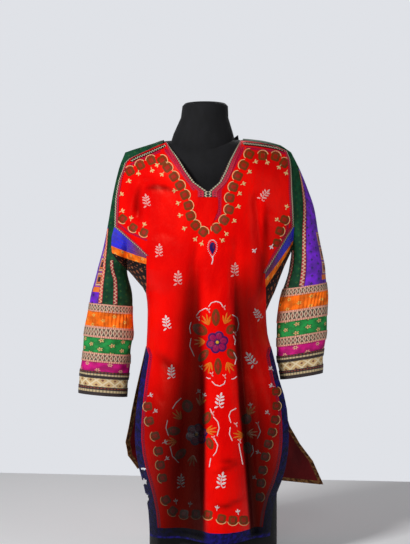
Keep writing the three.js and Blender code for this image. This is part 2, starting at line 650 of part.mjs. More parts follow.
// Rings of the cuff, from one height above its lower edge to another
function cuffRing(side, heights, lie) {
  const grid = heights.map((height) => Array.from({ length: RING_SIDES + 1 }, (_, k) => {
    const angle = ((k % RING_SIDES) * 360) / RING_SIDES;
    return { angle, level: side.cuff + height };
  }));
  return wall([sleevePatch(side, grid)], lie);
}

// Braids on the front panel, over its own points: down its side edge to the gore, and round the neck
function frontHalf(side) {
  const [left, right] = [frontEdge(LEFT), frontEdge(RIGHT)];
  const middle = middleLine(left, right, NECK_SECTIONS, side);
  return halfPanel(side === LEFT ? left : right, middle, PANEL_COLUMNS, side, onFront);
}

function edgeBraid(side) {
  const first = SKIRT_LEVELS.length + upperEdge(side).findIndex(({ z }) => z === side.gore[0]);
  const columns = side === LEFT ? [0, 2] : [-2, undefined];
  return wall([frontHalf(side).slice(first).map((row) => row.slice(...columns))], ON_TOP);
}

function neckBraid() {
  const grids = [LEFT, RIGHT].map((side) => {
    const rows = frontHalf(side);
    const columns = side === LEFT ? [-2, undefined] : [0, 2];
    return rows.slice(rows.length - NECK_SECTIONS.length - 1).map((row) => row.slice(...columns));
  });
  return wall(grids, ON_TOP);
}

// Plain insert that closes the lower end of the neck slit
const INSERT = { top: 884, bottom: 820, half: 24, middle: -5 };
function neckInsert() {
  const levels = [INSERT.bottom, 840, 862, INSERT.top];
  const grid = levels.map((z) => {
    const half = INSERT.half * (0.35 + 0.65 * smooth((z - INSERT.bottom) / 40));
    return [-half, 0, half].map((x) => ({ x: INSERT.middle + x, z }));
  });
  return wall([mapGrid(grid, onFront)], ON_TOP);
}

// Band that stands on the back panel's neckline
const NECK_BAND = { middle: -16, lean: 4, highLeft: 9, highRight: 24 };
function neckBand() {
  const [first, ...rest] = BACK_NECK;
  const right = rest.map(({ xr, zr }) => ({ x: xr, z: zr })).reverse();
  const left = rest.map(({ xl, zl }) => ({ x: xl, z: zl }));
  const feet = [...right, { x: first.xl, z: first.zl }, ...left].map((place) => onBack(place).p);
  const outwards = feet.map(({ x, y }) => new THREE.Vector3(x - NECK_BAND.middle, y, 0).normalize());
  const tops = feet.map((foot, k) => {
    const high = lerp(NECK_BAND.highRight, NECK_BAND.highLeft, k / (feet.length - 1));
    return foot.clone().addScaledVector(outwards[k], -NECK_BAND.lean).add(new THREE.Vector3(0, 0, high));
  });
  return wall([[feet, tops].map((row) => row.map((p, k) => ({ p, n: outwards[k] })))]);
}

// Bindings of the skirt
function slitBinding(side) {
  const grid = [FRONT_HEM, ...SKIRT_LEVELS].map((z) => {
    const outer = { x: readTable(side.body, z), z };
    const pair = [outer, panelEdge(side, z)];
    return side === LEFT ? pair : pair.reverse();
  });
  return wall([mapGrid(grid, onFront)]);
}

function hemBinding() {
  const middle = { x: NECK_BOTTOM.x, z: 0 };
  const grids = [LEFT, RIGHT].map((side) => {
    const edge = [FRONT_HEM, SKIRT_LEVELS[0]].map((z) => panelEdge(side, z));
    const middles = edge.map(({ z }) => ({ x: middle.x, z }));
    return halfPanel(edge, middles, PANEL_COLUMNS, side, onFront);
  });
  return wall(grids);
}

const backFoot = (side) => {
  const z = BACK_HEM[side.name];
  return { x: readTable(side.back, z) - side.sign * BACK_BINDING, z };
};

function backSideBinding(side) {
  const edge = backEdge(side).filter(({ z }) => z < SLIT_TOP);
  const grid = edge.map((place) => [{ x: readTable(side.back, place.z), z: place.z }, place]);
  const foot = backFoot(side);
  grid.unshift([{ x: foot.x + side.sign * BACK_BINDING, z: foot.z }, foot]);
  const turned = side === LEFT ? grid.map((pair) => [...pair].reverse()) : grid;
  return wall([mapGrid(turned, onBack)]);
}

function backHemBinding() {
  const middleZ = (BACK_HEM.left + BACK_HEM.right) / 2;
  const middles = [0, BACK_BINDING].map((rise) => ({ x: BACK_NECK[0].xl, z: middleZ + rise }));
  const grids = [LEFT, RIGHT].map((side) => {
    const edge = [backFoot(side), backEdge(side)[0]];
    return halfPanel(edge, middles, BACK_COLUMNS, side, onBack);
  });
  return wall(grids);
}

// Joins and cuts
function toSolid(geometry) {
  const bare = mergeVertices(geometry, 1e-4);
  return new wasm.Manifold(new wasm.Mesh({
    numProp: 3,
    vertProperties: new Float32Array(bare.attributes.position.array),
    triVerts: new Uint32Array(bare.index.array),
  }));
}

function fromSolid(solid) {
  const { vertProperties, triVerts } = solid.getMesh();
  const geometry = new THREE.BufferGeometry();
  geometry.setAttribute('position', new THREE.BufferAttribute(vertProperties, 3));
  geometry.setIndex(new THREE.BufferAttribute(triVerts, 1));
  return geometry;
}

// The largest body left of a piece once its neighbours and their seams are cut away from it
function clearOf(geometry, neighbours) {
  let solid = toSolid(geometry);
  for (const grid of neighbours) {
    solid = solid.subtract(toSolid(wall([grid], { outside: SEAM, inside: -CLOTH - SEAM, trim: 0 })));
  }
  const bodies = solid.decompose().sort((a, b) => b.volume() - a.volume());
  return fromSolid(bodies[0]);
}

function goreBand(side, band) {
  const neighbours = [greenGrid(side, false), underGrid(side)];
  if (band > 0) neighbours.push(goreGrid(side, band - 1));
  return clearOf(wall([goreGrid(side, band)], STRIP_GAP), neighbours);
}

function clearBackPanel() {
  const sleeves = [LEFT, RIGHT].flatMap((side) => [greenGrid(side, true), underGrid(side)]);
  return clearOf(backPanel(), sleeves);
}

// Rips in the left binding, as seen from the front
const RIPS = [
  { x: -163, z: 233, wide: 12, high: 6 }, { x: -160, z: 200, wide: 12, high: 14 },
  { x: -154, z: 160, wide: 8, high: 20 },
];
function tornBinding() {
  let solid = toSolid(slitBinding(LEFT));
  for (const rip of RIPS) {
    const hole = new THREE.CylinderGeometry(0.5, 0.5, 200, 10);
    hole.deleteAttribute('normal');
    hole.deleteAttribute('uv');
    hole.scale(rip.wide, 1, rip.high);
    hole.translate(rip.x, -60, rip.z);
    solid = solid.subtract(toSolid(hole));
  }
  return fromSolid(solid);
}

// The dress form: rings up to the shoulders, and a neck
const FORM = [
  { z: 1038, xl: -102, xr: 98, deep: 66 }, { z: 1036.4, xl: -112, xr: 122, deep: 72 },
  { z: 1033.5, xl: -124, xr: 137, deep: 78 }, { z: 1028, xl: -140, xr: 149, deep: 84 },
  { z: 1020, xl: -148, xr: 151, deep: 88 },
  { z: 1008, xl: -154, xr: 155, deep: 91 }, { z: 990, xl: -157, xr: 157, deep: 94 },
  { z: 950, xl: -157, xr: 157, deep: 97 }, { z: 880, xl: -155, xr: 153, deep: 100 },
  { z: 800, xl: -151, xr: 146, deep: 100 }, { z: 700, xl: -147, xr: 134, deep: 98 },
  { z: 610, xl: -146, xr: 128, deep: 96 }, { z: 530, xl: -147, xr: 140, deep: 98 },
  { z: 440, xl: -150, xr: 158, deep: 102 }, { z: 340, xl: -151, xr: 167, deep: 105 },
  { z: 0, xl: -151, xr: 167, deep: 105 },
];
const NECK = [
  { z: 1130, xl: -63, xr: 39, deep: 50 }, { z: 1124, xl: -69, xr: 45, deep: 56 },
  { z: 1095, xl: -73, xr: 46, deep: 58 }, { z: 1055, xl: -91, xr: 58, deep: 62 },
  { z: 1030, xl: -99, xr: 64, deep: 66 }, { z: 990, xl: -101, xr: 66, deep: 66 },
];
const FORM_SIDES = 24;

function ringStack(rows, fit) {
  const positions = [];
  const triangles = [];
  rows.forEach(({ z, xl, xr, deep }) => {
    for (let k = 0; k < FORM_SIDES; k += 1) {
      const turn = (k / FORM_SIDES) * Math.PI * 2;
      const x = (xl + xr) / 2 + ((xr - xl) / 2) * Math.cos(turn);
      const y = deep * Math.sin(turn);
      positions.push(x, fit ? fit(x, y, z) : y, z);
    }
  });
  for (let i = 0; i + 1 < rows.length; i += 1) {
    for (let k = 0; k < FORM_SIDES; k += 1) {
      const next = (k + 1) % FORM_SIDES;
      const [a, b] = [(i + 1) * FORM_SIDES + k, (i + 1) * FORM_SIDES + next];
      const [c, d] = [i * FORM_SIDES + next, i * FORM_SIDES + k];
      triangles.push(a, b, c, a, c, d);
    }
  }
  const last = (rows.length - 1) * FORM_SIDES;
  for (let k = 1; k + 1 < FORM_SIDES; k += 1) {
    triangles.push(0, k, k + 1, last, last + k + 1, last + k);
  }
  const geometry = new THREE.BufferGeometry();
  geometry.setAttribute('position', new THREE.Float32BufferAttribute(positions, 3));
  geometry.setIndex(triangles);
  return geometry;
}

// The form's shoulders carry the robe along their ridge and fall away from it elsewhere
const FORM_FALL = 0.84;
function insideRobe(x, y, z) {
  const lift = CLOTH + SEAT;
  const room = Math.max(1, halfDepth(x, z + lift, y > 0) * FORM_FALL - 1);
  const size = Math.abs(y);
  return Math.sign(y) * (size * room) / (size ** 4 + room ** 4 + 1e-9) ** 0.25;
}

function dressForm() {
  const rows = [];
  for (let k = 0; k + 1 < FORM.length; k += 1) {
    rows.push(FORM[k]);
    if (FORM[k].z > 900 && FORM[k].z - FORM[k + 1].z > 15) rows.push(between(FORM[k], FORM[k + 1], 0.5));
  }
  rows.push(FORM[FORM.length - 1]);
  const shoulders = ringStack(rows, (x, y, z) => (z > 850 ? insideRobe(x, y, z) : y));
  return fromSolid(toSolid(shoulders).add(toSolid(ringStack(NECK))));
}

// Materials and the finished group
const COLOURS = {
  red: [0xd01410, 0.35], green: [0x0f4a36, 0.6], purple: [0x4b0a86, 0.5], blue: [0x3038c0, 0.5],
  orange: [0xe07020, 0.6], magenta: [0xa81c70, 0.6], gold: [0xa08850, 0.5], black: [0x15100e, 0.7],
  braid: [0x8a6a48, 0.6], navy: [0x201a60, 0.6], tan: [0x8a6238, 0.6], form: [0x0c0c0d, 0.8],
};
const robe = new THREE.Group();

function add(name, colour, geometry) {
  const [color, roughness] = COLOURS[colour];
  const mesh = new THREE.Mesh(geometry, new THREE.MeshStandardMaterial({ color, roughness, metalness: 0 }));
  mesh.name = name;
  robe.add(mesh);
}

add('dress_form', 'form', dressForm());
add('front_panel', 'red', frontPanel());
add('back_panel', 'red', clearBackPanel());
add('neck_insert', 'red', neckInsert());
add('neck_braid', 'braid', neckBraid());
add('back_neck_band', 'braid', neckBand());
add('slit_binding_left', 'navy', tornBinding());
add('slit_binding_right', 'navy', slitBinding(RIGHT));
add('hem_binding', 'navy', hemBinding());
add('back_binding_left', 'tan', backSideBinding(LEFT));
add('back_binding_right', 'tan', backSideBinding(RIGHT));
add('back_hem_binding', 'tan', backHemBinding());

const GORE_BANDS = ['blue', 'orange', 'black', 'floral'];
for (const side of [LEFT, RIGHT]) {
  add(`edge_braid_${side.name}`, 'braid', edgeBraid(side));
  add(`shoulder_band_${side.name}`, 'green', shoulderBand(side));
  GORE_BANDS.forEach((band, k) => {
    add(`gore_${band}_${side.name}`, band === 'floral' ? 'black' : band, goreBand(side, k));
  });
  add(`sleeve_purple_${side.name}`, 'purple', purplePanel(side));
  add(`sleeve_green_front_${side.name}`, 'green', wall([greenGrid(side, false)], STRIP_GAP));
  add(`sleeve_green_back_${side.name}`, 'green', wall([greenGrid(side, true)], STRIP_GAP));
  add(`sleeve_under_${side.name}`, 'green', wall([underGrid(side)], STRIP_GAP));
  add(`braid_outer_front_${side.name}`, 'braid', seamBraid(side, false, true));
  add(`braid_outer_back_${side.name}`, 'braid', seamBraid(side, true, true));
  add(`braid_inner_front_${side.name}`, 'magenta', seamBraid(side, false, false));
  add(`braid_inner_back_${side.name}`, 'magenta', seamBraid(side, true, false));
  for (const band of ['gold', 'magenta', 'green', 'orange']) {
    add(`cuff_${band}_${side.name}`, band, cuffRing(side, BANDS[band]));
  }
  add(`cuff_edge_${side.name}`, 'black', cuffRing(side, BANDS.edge, ON_TOP));
  add(`cuff_stripe_${side.name}`, 'black', cuffRing(side, BANDS.stripe, ON_TOP));
  add(`cuff_lace_low_${side.name}`, 'braid', cuffRing(side, BANDS.laceLow, ON_TOP));
  add(`cuff_lace_middle_${side.name}`, 'braid', cuffRing(side, BANDS.laceMiddle, ON_TOP));
  add(`cuff_lace_top_${side.name}`, 'braid', cuffRing(side, BANDS.laceTop, ON_TOP));
}

export default robe;
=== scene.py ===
# An embroidered silk robe on a dress form: its cloth, thread and finish.
# Tables are in millimetres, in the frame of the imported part. Pixel tables give places in the
# photograph, which rough_place turns into places on the cloth. Meshes are made in metres.
import math
from contextlib import contextmanager
from types import SimpleNamespace

import bmesh
import bpy
import numpy as np
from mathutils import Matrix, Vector


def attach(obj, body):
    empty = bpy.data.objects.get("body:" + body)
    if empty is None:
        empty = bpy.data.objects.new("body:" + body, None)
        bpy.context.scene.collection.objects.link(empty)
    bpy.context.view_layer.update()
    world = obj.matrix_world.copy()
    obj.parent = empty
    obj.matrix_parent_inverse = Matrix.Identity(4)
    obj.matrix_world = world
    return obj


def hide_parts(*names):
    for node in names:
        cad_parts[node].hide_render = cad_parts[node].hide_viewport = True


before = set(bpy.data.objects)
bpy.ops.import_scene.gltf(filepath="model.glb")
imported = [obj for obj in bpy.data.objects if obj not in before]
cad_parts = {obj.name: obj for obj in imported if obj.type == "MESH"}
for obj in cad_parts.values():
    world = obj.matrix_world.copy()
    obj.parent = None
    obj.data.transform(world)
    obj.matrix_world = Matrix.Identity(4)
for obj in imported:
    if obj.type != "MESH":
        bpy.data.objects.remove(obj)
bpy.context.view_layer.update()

MM = 0.001

# The photograph: scale at the form's middle plane, distance and height of the eye
MM_PER_PIXEL = 2.5
PIXEL_MIDDLE = (210, 556)
EYE_DISTANCE = 3000
EYE_HEIGHT = 710
EYE_X = -12.5

# The robe's surface, as it hangs
MIDDLE_X = -8
SHOULDER_ROUND = 100
ARMHOLE_BLEND = 105
LAYERS = 2.5
GROOVE = 14
HEM_SPREAD = 0.12
SLIT_TOP = 527
SHELL = 1.0
TRIM_LIFT = 1.5
FOLD_FADE = 0.18
SOFT_REACH = 30
NORMAL_REACH = 4
ROUNDNESS = SimpleNamespace(oval=0.25, rest=0.75, power=1.1)
FRONT_MIDDLE = -5
BACK_MIDDLE = -12
SLEEVE_RADIUS = 42
INSERT = SimpleNamespace(levels=(820, 840, 862, 884), half=24, foot=0.35, taper=40)
GATHERS = SimpleNamespace(ends=14, count=38, high=1.1, lift=0.5)

# Widths are in metres, and no sheet's width is reckoned narrower than this: the two left outer
# braids measure 10.7 mm
LEAST_WIDTH = 0.011

LEFT_OUTER = [(1012, -210), (975, -225.5), (907, -242), (830, -255), (772, -266.5), (717, -281),
              (665, -295), (577, -310.5), (475, -325), (400, -330)]
RIGHT_OUTER = [(1017, 199), (1000, 207.5), (975, 220.5), (922, 242.5), (867, 261), (800, 272),
               (761, 280), (712, 290), (640, 294), (522, 288), (430, 279)]
LEFT_INNER = [(822, -168), (757, -192), (717, -207.5), (665, -198), (577, -193), (555, -191),
              (527, -196), (475, -202.5), (395, -209)]
RIGHT_INNER = [(822, 200), (761, 203), (712, 196), (655, 181), (590, 168), (557, 166),
               (522, 166), (445, 177)]
LEFT_BODY = [(717, -207.5), (691, -185), (656, -160), (615, -156), (565, -157), (510, -161),
             (457, -170), (415, -176), (352, -182.5), (302, -184), (250, -177.5),
             (170, -157.5), (112, -149), (60, -147)]
RIGHT_BODY = [(761, 203), (717, 183), (659, 161), (612, 140), (554, 144), (522, 153),
              (485, 162), (450, 169), (415, 180), (372, 188.5), (302, 192.5), (232, 184),
              (145, 155), (60, 145)]
LEFT_BACK = [(527, -160, 1), (460, -176, 0.98), (377, -195, 0.95), (290, -212, 0.91),
             (262, -218, 0.9), (205, -186, 0.88)]
RIGHT_BACK = [(527, 152, 1), (460, 163, 0.97), (400, 178, 0.88), (341, 198, 0.75),
              (291, 215, 0.65), (261, 236, 0.58), (219, 268, 0.5), (151, 299, 0.42)]
RIDGE = [(215, 1004), (200, 1016), (170, 1029), (125, 1039), (75, 1043), (-112, 1040),
         (-142, 1031), (-175, 1021), (-210, 1010), (-225, 1000)]
FRONT_DEPTH = [(1040, 118), (800, 121), (600, 124), (500, 128), (400, 138), (300, 148),
               (200, 157), (60, 166)]
BACK_DEPTH = [(1040, 116), (700, 120), (527, 125), (400, 138), (300, 155), (150, 176)]
SLEEVE_DEPTH = [(770, 44), (600, 36), (400, 31)]
SLEEVE_BACK_SET = [(770, 0), (600, 8), (400, 14)]

# The form: heights with its left, right and half depth
FORM = [
    (1038, -102, 98, 66), (1036.4, -112, 122, 72), (1033.5, -124, 137, 78), (1028, -140, 149, 84),
    (1020, -148, 151, 88), (1008, -154, 155, 91), (990, -157, 157, 94), (950, -157, 157, 97),
    (880, -155, 153, 100), (800, -151, 146, 100), (700, -147, 134, 98), (610, -146, 128, 96),
    (530, -147, 140, 98), (440, -150, 158, 102), (340, -151, 167, 105), (0, -151, 167, 105),
]

# Largest folds, as x and z at both ends, half widths and depths there
FRONT_FOLDS = [
    (-30, 770, -68, 70, 16, 46, 6, 46), (62, 720, 108, 70, 10, 26, 5, 20),
    (20, 640, 28, 70, 26, 48, -2, -10), (140, 560, 150, 300, 16, 24, -2, -5),
    (-160, 930, -178, 845, 12, 16, 8, 14), (112, 880, 130, 700, 12, 14, 7, 9),
]
BACK_FOLDS = [
    (-60, 700, -90, 180, 20, 40, 4, 22), (50, 700, 80, 180, 20, 44, 4, 26),
]

# Fine creases down the front, in pixels: x, y, width to the left and right, then depth in mm
FRONT_CREASES = [
    [(197, 244, 3, 4, 0), (195, 262, 5, 5, 5), (196, 300, 8, 4, 7), (199, 350, 12, 4, 9),
     (200, 400, 15, 3.5, 14), (199, 450, 18, 3.5, 17), (200, 500, 18, 4, 15), (202, 532, 16, 4, 12)],
    [(231, 250, 3, 4, 0), (233, 275, 4, 6, 5), (236, 310, 4, 8, 6), (240, 350, 3, 9, 8),
     (243, 385, 2.6, 11, 10), (247, 440, 2.6, 11, 13), (251, 490, 2.8, 10, 12), (255, 533, 3, 9, 10)],
    [(216, 262, 4, 4, 0), (217, 285, 5, 6, 3), (214, 305, 5, 6, 0)],
    [(262, 232, 3, 3, 0), (264, 262, 3, 6, 4), (262, 300, 3, 7, 5), (264, 340, 3, 7, 3),
     (268, 370, 3, 6, 0)],
    [(139, 183, 3, 2.5, 0), (136, 193, 3.5, 2.5, 4), (136, 207, 4, 3, 5), (141, 222, 4, 3, 0)],
    [(163, 322, 6, 5, 0), (167, 360, 6, 7, 3), (170, 400, 6, 8, 3), (168, 440, 6, 8, 0)],
    [(262, 395, 3, 5, 0), (262, 430, 3, 5, 4), (264, 470, 4, 5, 5), (267, 500, 4, 4, 0)],
    [(148, 262, 2, 4, 0), (149, 290, 2, 5, 4), (150, 330, 2, 6, 4), (150, 370, 3, 6, 0)],
    [(276, 262, 3, 3, 0), (273, 285, 3, 4, 4), (271, 310, 3, 4, 4), (272, 335, 3, 3, 0)],
]
# Fine creases across the front: x, y, width above and below, then depth in mm
FRONT_WRINKLES = [
    [(141, 184, 3, 5, 0), (149, 181, 3, 6, 4), (160, 184, 3, 6, 4), (174, 190, 3, 6, 0)],
    [(204, 462, 2, 3, 0), (214, 460, 2, 4, 2.4), (232, 452, 2, 3, 0)],
    [(207, 480, 2, 4, 0), (222, 476, 2, 4, 2.2), (243, 466, 2, 3, 0)],
    [(213, 505, 2, 4, 0), (230, 503, 2, 4, 2.6), (248, 493, 2, 3, 0)],
    [(204, 492, 2, 3, 0), (214, 488, 2, 3, 1.8), (226, 482, 2, 3, 0)],
    [(150, 352, 4, 6, 0), (163, 361, 4, 7, 2.4), (184, 372, 3, 5, 0)],
    [(150, 385, 4, 6, 0), (160, 397, 4, 7, 2.2), (176, 410, 3, 5, 0)],
    [(243, 372, 3, 5, 0), (256, 380, 3, 6, 2.4), (270, 384, 3, 4, 0)],
    [(226, 232, 3, 6, 0), (238, 243, 3, 7, 2.4), (252, 262, 3, 5, 0)],
    [(150, 236, 3, 5, 0), (163, 232, 3, 6, 2), (182, 240, 3, 5, 0)],
    [(252, 205, 4, 5, 0), (266, 214, 4, 6, 3), (282, 216, 3, 4, 0)],
]
BACK_CREASES = [
    [(182, 300, 8, 5, 0), (176, 380, 12, 6, 7), (172, 470, 14, 6, 12), (170, 520, 14, 6, 10)],
    [(236, 300, 5, 8, 0), (240, 380, 6, 12, 7), (246, 470, 6, 14, 12), (250, 520, 6, 14, 10)],
    [(208, 340, 8, 8, 0), (208, 420, 12, 9, 5), (210, 500, 14, 10, 8)],
    [(160, 190, 3, 5, 0), (168, 230, 4, 7, 4), (176, 262, 4, 6, 0)],
    [(256, 188, 5, 3, 0), (250, 228, 7, 4, 4), (242, 262, 6, 4, 0)],
    [(270, 420, 6, 4, 0), (284, 450, 7, 5, 4), (300, 480, 7, 5, 3)],
]
BACK_WRINKLES = [
    [(160, 292, 4, 6, 0), (195, 300, 4, 8, 3), (232, 296, 4, 7, 0)],
    [(172, 318, 4, 6, 0), (205, 326, 4, 8, 3), (250, 320, 4, 7, 0)],
    [(180, 160, 5, 7, 0), (208, 165, 5, 8, 3), (236, 160, 5, 7, 0)],
]

# Painted shade, where silk lies in deep shade in its folds: as the creases above, with a share of darkening
# in place of a depth
FRONT_SHADES = [
    [(197, 258, 8, 5, 0), (196, 290, 16, 4, 0.5), (197, 320, 18, 4, 0.7), (199, 350, 22, 4, 0.76),
     (202, 375, 32, 3.5, 0.82), (203, 400, 42, 2.4, 0.92), (203.5, 430, 54, 2.2, 0.97),
     (203, 470, 58, 2.2, 0.97), (202, 500, 60, 2.6, 0.97), (201, 536, 62, 4, 0.95)],
    [(236, 258, 2, 14, 0), (236, 290, 2, 20, 0.5), (236, 320, 2, 24, 0.66), (237, 350, 1.6, 24, 0.72),
     (239, 380, 1.6, 22, 0.66), (240, 405, 1.4, 32, 0.8), (243, 435, 1.4, 38, 0.88),
     (246, 465, 1.4, 40, 0.9), (249, 500, 1.6, 38, 0.92), (252, 536, 2, 34, 0.9)],
    [(266, 200, 2, 3, 0), (266, 225, 3, 3, 0.45), (265, 262, 4, 5, 0.5), (262, 290, 5, 5, 0.3),
     (262, 304, 4, 4, 0)],
    [(139, 183, 3, 2.5, 0), (136, 196, 3, 2.5, 0.3), (136, 207, 4, 3, 0.35), (141, 222, 4, 3, 0)],
]
# Painted shade along wrinkles across the front: as the wrinkles above, with a share of darkening in place of
# a depth
FRONT_WRINKLE_SHADES = [
    [(142, 187, 2, 3, 0), (152, 186, 2, 3, 0.45), (165, 187, 2, 3, 0.45), (180, 193, 2, 3, 0)],
    [(218, 458, 2, 3, 0), (228, 457, 2, 4, 0.4), (240, 460, 2, 4, 0)],
    [(210, 470, 2, 3, 0), (224, 466, 2, 3, 0.3), (244, 458, 2, 3, 0)],
    [(210, 501, 2, 3, 0), (226, 501, 2, 3, 0.45), (248, 494, 2, 3, 0)],
    [(150, 352, 5, 7, 0), (166, 362, 5, 8, 0.3), (184, 372, 5, 7, 0)],
]

# How the form and the cloth over it clear each other
FORM_FITTED = 850
FORM_ROOM = 2.6
FORM_SOFT = 5
FORM_LIFT = 2.3
FORM_FALL = 0.84

# Seams and panel edges, as x and z in the front view
LEFT_ARMHOLE = [(-237.5, 822), (-244, 798), (-244.5, 775), (-242, 757), (-231, 740), (-219, 728),
                (-207.5, 717)]
RIGHT_ARMHOLE = [(207.5, 822), (206.8, 803), (206, 788), (205.4, 779), (204.2, 772), (203.4, 766),
                 (203, 761)]
LEFT_GORE = [750, 743, 729, 717, 656]
RIGHT_GORE = [707, 692, 672, 650, 612]
LEFT_SECTIONS = [
    (None, 560), (None, 590), (None, 615), (None, 636), (-160, 656), (-157, 671), (-155.5, 686),
    (-155, 702), (-155, 717), (-155, 729), (-155, 743), (-155, 750), (-178, 772), (-199, 790),
    (-218, 806), (-237.5, 822), (-237.3, 839), (-237, 856), (-236, 890), (-233, 912),
    (-227, 940), (-217, 967), (-212, 981), (-202, 991), (-175, 1002), (-147, 1013), (-118, 1025),
]
RIGHT_SECTIONS = [
    (None, 555), (None, 583), (140, 612), (138.5, 631), (137, 650), (136.5, 661), (136, 672),
    (135.5, 682), (135, 692), (135, 697), (135, 702), (135, 707), (153, 737), (172, 767),
    (190, 796), (207.5, 822), (206.2, 839), (205, 856), (203.5, 890), (202.5, 912),
    (202, 940), (201.5, 967), (199.5, 990), (192, 1011), (165, 1022), (125, 1029), (86, 1033),
]
LEFT_NECK = [(-5, 903), (-36, 925), (-56, 952), (-70, 975), (-81, 992), (-92, 1006),
             (-100, 1018), (-108, 1030)]
RIGHT_NECK = [(-5, 903), (20, 925), (34, 952), (45, 978), (57, 1001), (64, 1014), (70, 1024),
              (75, 1034)]
LEFT_TIPS = [(-212, 1009), (-183, 1018.5), (-150, 1028.5), (-115, 1039.8)]
RIGHT_TIPS = [(203, 1009), (176, 1027), (130, 1038), (82, 1042.5)]
SLIT_BINDING = [(524, 1.5), (505, 12), (300, 17), (68, 22)]
SKIRT_LEVELS = [93, 130, 165, 200, 235, 270, 305, 340, 375, 410, 445, 478, 505, 524]
FRONT_HEM = 68
BACK_BINDING = 10
LEFT_BACK_LEVELS = [240, 275, 315, 360, 410, 460, 524, 560, 590, 615, 636, 656, 671, 686, 702]
RIGHT_BACK_LEVELS = [215, 262, 310, 360, 410, 460, 524, 555, 583, 597, 605, 612, 650, 687, 724]
LEFT_BACK_NECK = [(-12, 1014), (-55, 1016), (-92, 1021), (-106, 1028)]
RIGHT_BACK_NECK = [(-12, 1014), (24, 1017), (58, 1025), (75, 1033)]
PANEL_COLUMNS = 12
BACK_COLUMNS = 8
CUFF_LENGTH = 227
BANDS = {
    "gold": (0, 54), "magenta": (54, 98), "green": (98, 160), "orange": (160, 227),
    "edge": (0, 22), "stripe": (43, 60), "lace_low": (83, 106), "lace_middle": (143, 171),
    "lace_top": (207, 227),
}
NECK_BAND = SimpleNamespace(middle=-16, lean=4, high_left=9, high_right=24)
RIPS = [(-163, 233, 12, 6), (-160, 200, 12, 14), (-154, 160, 8, 20)]

LEFT = SimpleNamespace(
    name="left", sign=-1, outer=LEFT_OUTER, inner=LEFT_INNER, body=LEFT_BODY, back=LEFT_BACK,
    armhole=LEFT_ARMHOLE, gore=LEFT_GORE, sections=LEFT_SECTIONS, neck=LEFT_NECK, tips=LEFT_TIPS,
    back_levels=LEFT_BACK_LEVELS, back_neck=LEFT_BACK_NECK, back_hem=205, band_top=822,
    seam_ease=1, cuff=402, tilt=-0.085, braid_half=4.5,
    seams={"outer_front": 63, "inner_front": 105, "outer_back": 63, "inner_back": 105})
RIGHT = SimpleNamespace(
    name="right", sign=1, outer=RIGHT_OUTER, inner=RIGHT_INNER, body=RIGHT_BODY, back=RIGHT_BACK,
    armhole=RIGHT_ARMHOLE, gore=RIGHT_GORE, sections=RIGHT_SECTIONS, neck=RIGHT_NECK,
    tips=RIGHT_TIPS, back_levels=RIGHT_BACK_LEVELS, back_neck=RIGHT_BACK_NECK, back_hem=151,
    band_top=967, seam_ease=0.55, cuff=449, tilt=-0.16, braid_half=5.5,
    seams={"outer_front": 105, "inner_front": 150, "outer_back": 60, "inner_back": 120})


def curve(rows, at, column=1):
    """A table's column as a smooth curve of its first column."""
    table = np.array(sorted(rows, key=lambda row: row[0]), float)
    knots, values = table[:, 0], table[:, column]
    slope = np.diff(values) / np.diff(knots)
    bend = np.concatenate([slope[:1], np.zeros(len(slope) - 1), slope[-1:]])
    product = slope[1:] * slope[:-1]
    total = np.where(product > 0, slope[1:] + slope[:-1], 1)
    bend[1:-1] = np.where(product > 0, 2 * product / total, 0)
    at = np.clip(np.asarray(at, float), knots[0], knots[-1])
    i = np.clip(np.searchsorted(knots, at, side="right") - 1, 0, len(knots) - 2)
    run = knots[i + 1] - knots[i]
    t = (at - knots[i]) / run
    ease = t * t * (3 - 2 * t)
    level = values[i] * (1 - ease) + values[i + 1] * ease
    return level + run * t * (1 - t) * (bend[i] * (1 - t) - bend[i + 1] * t)


def smooth(t):
    t = np.clip(t, 0, 1)
    return t * t * (3 - 2 * t)


def lobe(u):
    return np.sqrt(np.maximum(0, 1 - u * u))


def mix(a, b, t):
    return a + (b - a) * t


def fold_at(folds, x, z):
    total = 0
    for x1, z1, x2, z2, half1, half2, deep1, deep2 in folds:
        t = (z1 - z) / (z1 - z2)
        along = np.clip(t, 0, 1)
        off = (x - mix(x1, x2, along)) / mix(half1, half2, along)
        fade = smooth((t + FOLD_FADE) / FOLD_FADE) * smooth((1 + FOLD_FADE - t) / FOLD_FADE)
        total = total + mix(deep1, deep2, along) * np.exp(-off * off) * fade
    return total


def rough_place(px, py, y=-105):
    """A pixel as x and z at a distance in front of the form's middle plane."""
    near = (EYE_DISTANCE + y) / EYE_DISTANCE
    x = EYE_X + ((px - PIXEL_MIDDLE[0]) * MM_PER_PIXEL - EYE_X) * near
    z = EYE_HEIGHT + ((PIXEL_MIDDLE[1] - py) * MM_PER_PIXEL - EYE_HEIGHT) * near
    return x, z


def crease_sum(lines, x, z, across):
    """Depth of fine creases, each a line of pixels with its widths and depth along it."""
    total = np.zeros(np.shape(x))
    for line in lines:
        rows = np.array([(*rough_place(px, py), a, b, d) for px, py, a, b, d in line])
        along, off = (0, 1) if across else (1, 0)
        rows = rows[np.argsort(rows[:, along])]
        here = (x, z)[along]
        centre, first, second, deep = [np.interp(here, rows[:, along], rows[:, k])
                                       for k in (off, 2, 3, 4)]
        inside = (here >= rows[0, along]) & (here <= rows[-1, along])
        gap = (x, z)[off] - centre
        before = first if not across else second
        after = second if not across else first
        width = np.where(gap < 0, before, after) * MM_PER_PIXEL
        total += np.where(inside, deep * np.exp(-(gap / width) ** 2), 0)
    return total


def fine_creases(x, z, back):
    down = crease_sum(BACK_CREASES if back else FRONT_CREASES, x, z, False)
    return down + crease_sum(BACK_WRINKLES if back else FRONT_WRINKLES, x, z, True)


def fold_shade(x, z, back):
    """Painted shade: how much the silk's colour is darkened where it lies deep in a fold, from 0 to 1."""
    if back:
        # On the back, painted shade grows with the creases' depth
        return np.clip(fine_creases(x, z, True) / 40, 0, 0.5)
    return np.clip(crease_sum(FRONT_SHADES, x, z, False) + crease_sum(FRONT_WRINKLE_SHADES, x, z, True), 0, 0.97)


